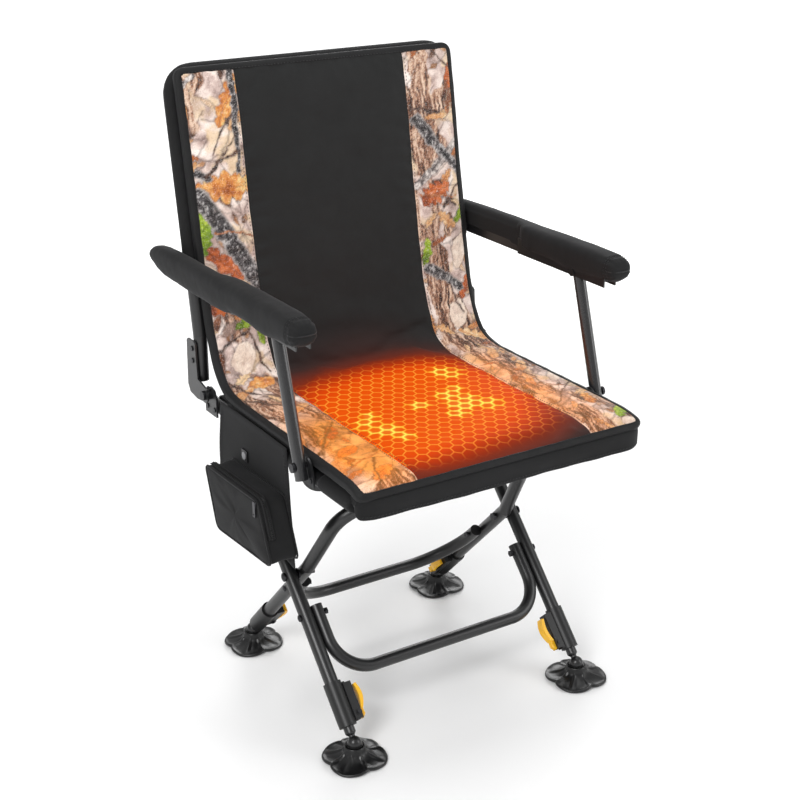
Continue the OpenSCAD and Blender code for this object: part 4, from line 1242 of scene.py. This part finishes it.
# ---------------------------------------------------------------- arm pads
# Stations from front to back: y, inner x, outer x, bottom z, top z, roundness
ARM_STATIONS = np.array((
    (-181.5, 262, 281, 682, 688, 2.0), (-180.5, 256, 286.5, 676, 694, 2.1),
    (-177, 252.4, 290, 670.5, 699.5, 2.3), (-170, 250.4, 292.2, 666.5, 703.5, 2.6),
    (-158, 249.6, 293, 664.5, 705.6, 2.9), (-140, 249.5, 293, 663.5, 706.6, 3.1),
    (-118, 249.5, 293, 661.5, 707, 3.1), (-100, 249.5, 293, 658.5, 707, 3.1),
    (-84, 249.5, 293, 657.0, 706.8, 3.1), (-66, 249.6, 293, 657.5, 706.5, 3.1),
    (-50, 250, 293, 660.5, 706.3, 3.1), (-30, 250, 293, 662.5, 706, 3.1),
    (0, 250.5, 293, 662.5, 705.6, 3.1), (30, 251, 293, 662.5, 705.3, 3.1),
    (50, 252.5, 293, 662.5, 705, 3.1), (66, 258, 293, 662.5, 704.8, 3.0),
    (80, 263.3, 293, 662.5, 704.6, 2.9), (120, 264, 293, 662.5, 704.2, 2.9),
    (170, 264, 292.8, 662.6, 703.6, 2.9), (220, 264, 292.6, 663, 702.8, 2.8),
    (255, 264, 292.2, 664, 701.5, 2.8), (275, 264.2, 291.5, 666, 699, 2.6),
    (290, 264.8, 290.4, 669, 695, 2.4), (298, 266, 288.5, 673, 690.5, 2.2),
    (301, 269, 285.5, 677, 686.5, 2.0)))
ARM_CENTRE_X = 271.3
ARM_SEAM_Y = -163


def build_arm_pad(name, side):
    centre_x = ARM_CENTRE_X * side
    station_y = ARM_STATIONS[:, 0]
    angles = np.linspace(0, 2 * math.pi, 40, endpoint=False)
    rings = []
    for y in np.unique(np.r_[np.arange(-181.5, 301, 6.2), station_y]):
        inner, outer, bottom, top, roundness = (
            np.interp(y, station_y, column) for column in ARM_STATIONS.T[1:])
        across, height = squircle(angles, roundness)
        x = (inner + outer) / 2 + across * (outer - inner) / 2
        z = (bottom + top) / 2 + height * (top - bottom) / 2
        rings.append(np.stack([x * side, 0 * x + y, z], 1))
    cover = add_mesh("arm_pad_cover_" + name, loft(rings), "black_fabric")

    # slack in the cover: pleats at the front tip, wrinkles along it, grooves at the seams
    points = get_points(cover.data)
    x, y, z = points.T
    outward = np.stack([x - centre_x, 0 * x, z - 685.0], 1)
    angle = np.arctan2(outward[:, 2], outward[:, 0])
    outward /= np.maximum(np.linalg.norm(outward, axis=1), 1e-6)[:, None]
    tip = np.exp(-((y + 168) / 16) ** 2)
    pleats = np.sin(angle * 15 + 0.6 * np.sin(angle * 4)) * 0.9 * tip
    tip_groove = np.where(y < -172, -1.6 * np.exp(-((z - 685) / 1.8) ** 2), 0)
    wrinkles = (wobble(points * [1, 0.5, 1], height=1.3, size=24, seed=4.0)
                + wobble(points, height=0.5, size=9, seed=9.0))
    calm = np.where((y > 60) & (x * side < 268), 0.2, 1.0)
    ring_groove = -1.3 * np.exp(-((y - ARM_SEAM_Y) / 2.2) ** 2)
    rise = (pleats + wrinkles * 0.7) * calm + ring_groove + tip_groove
    points += outward * rise[:, None]
    set_points(cover, points)
    x, y, z = points.T
    held = (np.abs(y - ARM_SEAM_Y) < 3) | (y < -178) | (y > 296)
    pin = np.where((x * side < 266) & (y > 40), 1.0, np.where(held, 0.9, 0.25))
    settle(cover, pin, pressure=2.4, limit=1.8, frame_count=10)

    # flatten the inner side towards the rear, and hang the lower edge down
    points = get_points(cover.data)
    x, y, z = points.T
    inward = x * side
    flat = (y > 20) & (y < 288) & (inward < 265.5) & (np.abs(z - 674) < 19)
    inward = np.where(flat, np.where(y > 62, 262.5, np.minimum(inward, 262.5)), inward)
    inward = np.maximum(inward, np.where(y > 64, 262.4, 248.9))
    drop = (6.5 * np.clip((y - 10) / 30, 0, 1) * np.clip((292 - y) / 14, 0, 1)
            * np.clip((674 - z) / 10, 0, 1))
    z = np.where((y > 20) & (y < 290) & (z < 672), z - drop, z)
    set_points(cover, np.stack([side * inward, y, z], 1))
    subdivide(cover)
    register(cover, "arm_" + name, ["arm_pad_" + name])

    # cord across the front tip, and two rows of stitches round the ring seam
    turn = np.radians(np.linspace(-90, 90, 21))
    tip_path = np.stack([centre_x + side * 20.5 * np.sin(turn),
                         -182.2 + 15 * (1 - np.cos(turn)) ** 1.2, np.full(21, 685.2)], 1)
    across, height = squircle(np.r_[angles, angles[0]], 2.8)
    normals = np.stack([across * 20.6, 0 * across, height * 19.6], 1)
    ring = normals + np.array((centre_x, ARM_SEAM_Y, 685.1))
    shapes = [cord(smooth_path(tip_path, 2), 1.1, sides=8)]
    for shift in (-2.4, 2.4):
        shapes.append(stitches(ring + np.array((0, shift, 0)) + normals * 0.012, normals,
                               length=2.8, gap=2.2, radius=0.5, lift=0.2))
    register(add_mesh("arm_pad_seams_" + name, join(shapes), "thread"), "arm_" + name)


# ---------------------------------------------------------------- side panel
# Lower and upper edges from front to back: y, z
PANEL_BOTTOM = ((-95, 289), (-78, 292.6), (-60, 296), (30, 296), (100, 298.4), (150, 300))
PANEL_TOP = ((-79, 480), (-20, 480.5), (60, 480.5), (120, 480.2), (138, 479.5))


def build_side_panel():
    rows, columns = 36, 44
    u = np.linspace(0, 1, columns)

    def edge(points):
        path = resample(points, 6)
        t = np.linspace(0, 1, len(path))
        return np.stack([np.interp(u, t, column) for column in path.T], 1)

    bottom, top = edge(PANEL_BOTTOM), edge(PANEL_TOP)
    outer, inner = [], []
    for v in np.linspace(0, 1, rows):
        y, z = (bottom * (1 - v) + top * v).T
        y = y + np.where(u > 0.5, (u - 0.5) * 2, 0) * 11 * math.sin(v * math.pi * 0.5) * (1 - v) * 1.6
        inset = np.minimum(np.minimum(u, 1 - u) * 230, np.minimum(v, 1 - v) * 185)
        thick = np.where(inset < 9, 1.7, 1.0) - np.where(inset < 0.5, 0.9, 0)
        wave = (0.55 * np.sin(y / 19 + v * 3.2) * math.sin(math.pi * v)
                + 0.35 * np.sin(z / 13 + u * 5))
        wave = np.minimum(wave, 0.5)
        outer.append(np.stack([PANEL_X - thick + wave, y, z], 1))
        inner.append(np.stack([PANEL_X + thick * 0.7 + wave * 0.5, y, z], 1))
    outer, inner = np.array(outer), np.array(inner)
    points = np.concatenate([outer.reshape(-1, 3), inner.reshape(-1, 3)])
    panel = add_mesh("side_panel_cloth", (points, closed_grid(rows, columns)), "black_fabric")
    subdivide(panel)
    register(panel, "seat", ["side_panel"])
    # along the front, lower and rear edges
    paths = (outer[2:-2, 1] + np.array((-0.6, 2, 0)), outer[1, 2:-2] + np.array((-0.6, 0, 2)),
             outer[2:-2, -2] + np.array((-0.6, -2, 0)))
    shape = join([stitches(path, (-1.0, 0, 0), length=3, gap=2.6, radius=0.5, lift=0.1)
                  for path in paths])
    register(add_mesh("side_panel_stitching", shape, "thread"), "seat")


# ---------------------------------------------------------------- pocket
# Outline seen from the side: y, z
POCKET_OUTLINE = ((103, 393), (98, 397), (16, 400), (-66, 403), (-73, 400), (-90, 360),
                  (-107, 320), (-104, 313), (-20, 307.5), (64, 302), (72, 305), (87, 348))
# Sections from the panel outwards: x, inset from the outline
POCKET_RINGS = (
    (-254.0, 34), (-253.8, 12), (-254.2, 1.2), (-256, 0.0), (-261, -0.6), (-268, 0.2),
    (-275, 0.6), (-282, 0.3), (-289, -0.4), (-294, -0.6), (-297, 0.2), (-299.2, 1.6),
    (-300.3, 5), (-301.2, 12), (-302, 22), (-302.4, 32), (-302.6, 42))
# Path of the zip along the top and down the front: y, z
ZIP_PATH = ((96, 398.6), (16, 401.8), (-60, 404.6), (-68, 404.4), (-74.5, 400), (-84, 379),
            (-96, 350))
ZIP_X = -289.4
outline = smooth_path(resample(POCKET_OUTLINE, 6.0, closed=True), 1, closed=True)
pocket_centre = outline.mean(0)


def pocket_ring(x, inset):
    spokes = outline - pocket_centre
    length = np.linalg.norm(spokes, axis=1)
    y, z = (pocket_centre + spokes * (1 - inset / length)[:, None]).T
    return np.stack([np.full(len(y), x), y, z], 1)


def build_pocket():
    shape = loft([pocket_ring(*row) for row in POCKET_RINGS])
    pocket = add_mesh("pocket_bag", shape, "black_fabric")
    points = get_points(pocket.data)
    x, y, z = points.T
    # buckles round the side wall, then lumps on the outer face
    wall = np.clip((-255 - x) / 8, 0, 1) * np.clip((x + 301) / 6, 0, 1)
    face = np.clip((-298 - x) / 3, 0, 1)
    spokes = points[:, 1:] - pocket_centre
    spokes = spokes / np.maximum(np.linalg.norm(spokes, axis=1), 1)[:, None]
    buckle = 1.3 * np.sin((x + 254) / 5.2 + y / 27) * np.sin(z / 17 + y / 33) - 0.8
    points[:, 1:] += spokes * (buckle * wall)[:, None]
    points[:, 0] += (wobble(points, height=1.9, size=42, seed=7.0)
                     + wobble(points, height=0.8, size=16, seed=1.0) + 0.6) * face
    set_points(pocket, points)
    x = points[:, 0]
    pin = np.where(x > -256, 1.0, np.where((x < -295) & (x > -300.0), 0.9, 0.1))
    settle(pocket, pin, pressure=2.0, limit=1.4, frame_count=10)
    # the bag lies flat behind the path of the zip pull
    points = get_points(pocket.data)
    x, y, z = points.T
    lane = smoothstep(z, 346, 362) * smoothstep(y, -92, -80)
    points[:, 0] = np.maximum(x, -305.0 + 4.5 * lane)
    set_points(pocket, points)
    subdivide(pocket)
    register(pocket, "seat", ["pocket"])

    # piping round the outer face and round the seam against the panel
    shape = join([
        cord(pocket_ring(-298.6, 0.4), 1.9, closed=True, sides=10, up=(1, 0, 0)),
        cord(pocket_ring(-254.6, -0.8), 1.5, closed=True, sides=8, up=(1, 0, 0))])
    register(add_mesh("pocket_piping", shape, "binding"), "seat")


def path_directions(path):
    """Tangents of a (y, z) path and its normals pointing away from the pocket's centre."""
    tangents = np.gradient(path, axis=0)
    tangents /= np.linalg.norm(tangents, axis=1)[:, None]
    normals = np.stack([tangents[:, 1], -tangents[:, 0]], 1)
    normals *= np.sign((normals * (path - pocket_centre)).sum(1))[:, None]
    return tangents, normals


def build_zip():
    """Two tapes with a row of staggered teeth between them."""
    path = smooth_path(resample(ZIP_PATH, 4.0), 2)
    _, normals = path_directions(path)
    tapes = []
    for x0, x1 in ((-284.5, -288.6), (-290.2, -294.3)):
        rings = []
        for low, normal in zip(path, normals):
            high = low + normal * 1.1
            rings.append([(x0, *low), (x1, *low), (x1, *high), (x0, *high)])
        tapes.append(loft(rings))
    register(add_mesh("pocket_zip_tape", join(tapes), "binding"), "seat")

    path = resample(path, 1.5)
    teeth = []
    for i, (point, tangent, normal) in enumerate(zip(path, *path_directions(path))):
        x = ZIP_X + (-0.55 if i % 2 else 0.55)
        rings = []
        for height, half_width in ((0.4, 1.5), (1.5, 1.5), (2.0, 1.0)):
            centre = point + normal * height
            rings.append([(x + a * half_width, *(centre + tangent * b))
                          for a, b in ((-1, -0.5), (1, -0.5), (1, 0.5), (-1, 0.5))])
        teeth.append(loft(rings))
    piece = add_mesh("pocket_zip_teeth", join(teeth), "black_plastic", smooth=False)
    register(piece, "seat")


# ---------------------------------------------------------------- feet
# Rings from the middle of the sole, over the rim, up the hub and down into its socket.
# Radius = share of the lobed outline + offset + share of the ribs;
# height = base + share of the rim's wave + share of the ribs. Columns in that order.
FOOT_RINGS = (
    (0, 4, 0, 1.6, 0, 0), (0, 20, 0, 1.4, 0, 0), (1, -9, 0, 1.2, 0, 0), (1, -6, 0, 0.1, 0.35, 0),
    (1, -1.2, 0, 0, 0.6, 0), (1, 0, 0, 1.0, 0.75, 0), (1, 0, 0, 3.4, 0.85, 0),
    (1, -1.6, 0, 4.7, 0.9, 0), (1, -4.0, 0, 4.3, 0.8, 0.3), (1, -7.5, 0, 4.3, 0.6, 1.2),
    (1, -13, 0, 5.6, 0.4, 1.8), (0.62, 0, 0, 7.4, 0, 2.2), (0.5, 0, 0, 10.0, 0, 2.0),
    (0, 20.5, 1.5, 12.6, 0, 1.6), (0, 18.2, 1.2, 14.6, 0, 1.2), (0, 17.0, 0.6, 18.0, 0, 0),
    (0, 16.6, 0, 22.0, 0, 0), (0, 16.2, 0, 24.2, 0, 0), (0, 15.3, 0, 25.3, 0, 0),
    (0, 14.0, 0, 25.2, 0, 0), (0, 13.25, 0, 24.0, 0, 0), (0, 13.25, 0, 21.0, 0, 0),
    (0, 10.5, 0, 16.0, 0, 0), (0, 4.0, 0, 14.6, 0, 0))


def build_foot(name):
    """Four-lobed foot with ribs and a socket hub."""
    low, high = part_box(name)
    x, y = ((low[i] + high[i]) * 500 - AXIS[i] * 1000 for i in (0, 1))
    angle = np.linspace(0, 2 * math.pi, 144, endpoint=False)
    turned = angle - math.pi / 4
    lobes = 42.2 + 8.4 * np.abs(np.cos(2 * turned)) ** 0.62
    ribs = np.clip(np.cos(8 * angle), 0, 1) ** 2
    wave = np.maximum(2.1 * (1 - np.cos(4 * turned)) + 0.35 * np.cos(12 * angle + 0.8), 0)
    rings = []
    for lobe_share, offset, rib_reach, base, wave_share, rib_rise in FOOT_RINGS:
        radius = lobes * lobe_share + offset + ribs * rib_reach
        height = base + wave * wave_share + ribs * rib_rise
        rings.append(np.stack([x + radius * np.cos(angle), y + radius * np.sin(angle), height], 1))
    moulding = add_mesh(name + "_moulding", loft(rings), "foot_plastic")
    subdivide(moulding)
    register(moulding, name, [name])


build_sling()
build_hem()
build_back_sleeve()
build_arm_pad("left", 1)
build_arm_pad("right", -1)
build_side_panel()
build_pocket()
build_zip()
for corner_name in ("front_left", "front_right", "rear_left", "rear_right"):
    build_foot("foot_" + corner_name)


# ---------------------------------------------------------------- the CAD pieces
def finish_cad():
    """Material, smooth shading and, on the hard parts, softened edges."""
    slots = {part.get("node", part.get("name")): part.get("material_slot")
             for part in frame["record"].get("subparts", [])}
    bevelled = ("plate_grey", "lever_yellow", "black_plastic", "fastener")
    for name, piece in NODES.items():
        slot = slots.get(name)
        mesh = piece.data
        mesh.materials.clear()
        mesh.materials.append(MATERIALS.get(slot, MATERIALS["plate_grey"]))
        mesh.polygons.foreach_set("use_smooth", [True] * len(mesh.polygons))
        mesh.set_sharp_from_angle(angle=math.radians(28))
        if not piece.hide_render and slot in bevelled:
            add_modifier(piece, "BEVEL", width=0.0007, segments=2, limit_method="ANGLE",
                         angle_limit=math.radians(40))


def place_drawn_pieces():
    """Move the drawn pieces onto the swivel axis, each mesh once."""
    placed = set()
    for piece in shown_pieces():
        if piece.name not in CAD_NAMES and piece.data.name not in placed:
            placed.add(piece.data.name)
            piece.data.transform(Matrix.Translation(AXIS))


finish_cad()
place_drawn_pieces()


# ---------------------------------------------------------------- floor, lights, camera (m)
def build_floor():
    """Pale floor, brighter away from the chair so that it fades into the background."""
    shader = Shader("floor_pale")
    at = shader.object_position()
    clouds = shader.noise(at, scale=3)
    x, y, _ = shader.split(at)
    distance = (x * x + y * y).math("SQRT")
    shader.surface({
        "Base Color": shader.mix(clouds, (0.86, 0.86, 0.86, 1), (0.90, 0.90, 0.90, 1)),
        "Roughness": 0.75,
        "Specular IOR Level": 0.2,
        "Emission Color": (1, 1, 1, 1),
        "Emission Strength": distance.step(start=0.7, end=4.0) * 0.72 + 0.06})
    reach, z = 60, -0.0002
    mesh = bpy.data.meshes.new("floor")
    mesh.from_pydata([(-reach, -reach, z), (reach, -reach, z), (reach, reach, z),
                      (-reach, reach, z)], [], [(0, 1, 2, 3)])
    floor = bpy.data.objects.new("floor", mesh)
    scene.collection.objects.link(floor)
    mesh.materials.append(shader.material)


def add_aimed(name, data, location, target):
    """Add a light or camera that looks at the target."""
    item = bpy.data.objects.new(name, data)
    scene.collection.objects.link(item)
    item.location = location
    item.rotation_euler = (Vector(target) - item.location).to_track_quat("-Z", "Y").to_euler()
    return item


def add_area(name, location, target, size, power):
    light = bpy.data.lights.new(name, "AREA")
    light.shape = "RECTANGLE"
    light.size, light.size_y = size
    light.energy = power
    light.color = (1, 1, 1)
    add_aimed(name, light, location, target)


def build_world():
    """White backdrop for the camera that lights the scene at half strength."""
    world = bpy.data.worlds.new("studio")
    scene.world = world
    world.use_nodes = True
    nodes, links = world.node_tree.nodes, world.node_tree.links
    background = nodes["Background"]
    background.inputs[0].default_value = (1, 1, 1, 1)
    rays = nodes.new("ShaderNodeLightPath")
    strength = nodes.new("ShaderNodeMapRange")
    strength.inputs[3].default_value = 0.5
    strength.inputs[4].default_value = 1.0
    links.new(rays.outputs["Is Camera Ray"], strength.inputs[0])
    links.new(strength.outputs[0], background.inputs[1])
    scene.view_settings.view_transform = "Standard"
    scene.view_settings.look = "None"


def build_camera():
    camera = bpy.data.cameras.new("camera")
    camera.sensor_width = 36
    camera.lens = 67.48
    camera.clip_end = 200
    scene.camera = add_aimed("camera", camera,
                             location=Vector((-1.1643, -1.8339, 1.3495)) + AXIS,
                             target=Vector((-0.0266, -0.0250, 0.4878)) + AXIS)


build_floor()
add_area("key", location=(-2.6, -1.6, 2.6), target=(0, 0, 0.45), size=(1.4, 1.4), power=74)
add_area("fill", location=(2.4, -2.2, 1.6), target=(0, 0, 0.5), size=(1.4, 2.2), power=30)
add_area("top", location=(0.2, 0.4, 3.4), target=(0, 0, 0.4), size=(2.6, 2.6), power=48)
add_area("rim", location=(1.8, 2.4, 1.8), target=(0, 0, 0.6), size=(1.2, 1.8), power=30)
build_world()
build_camera()
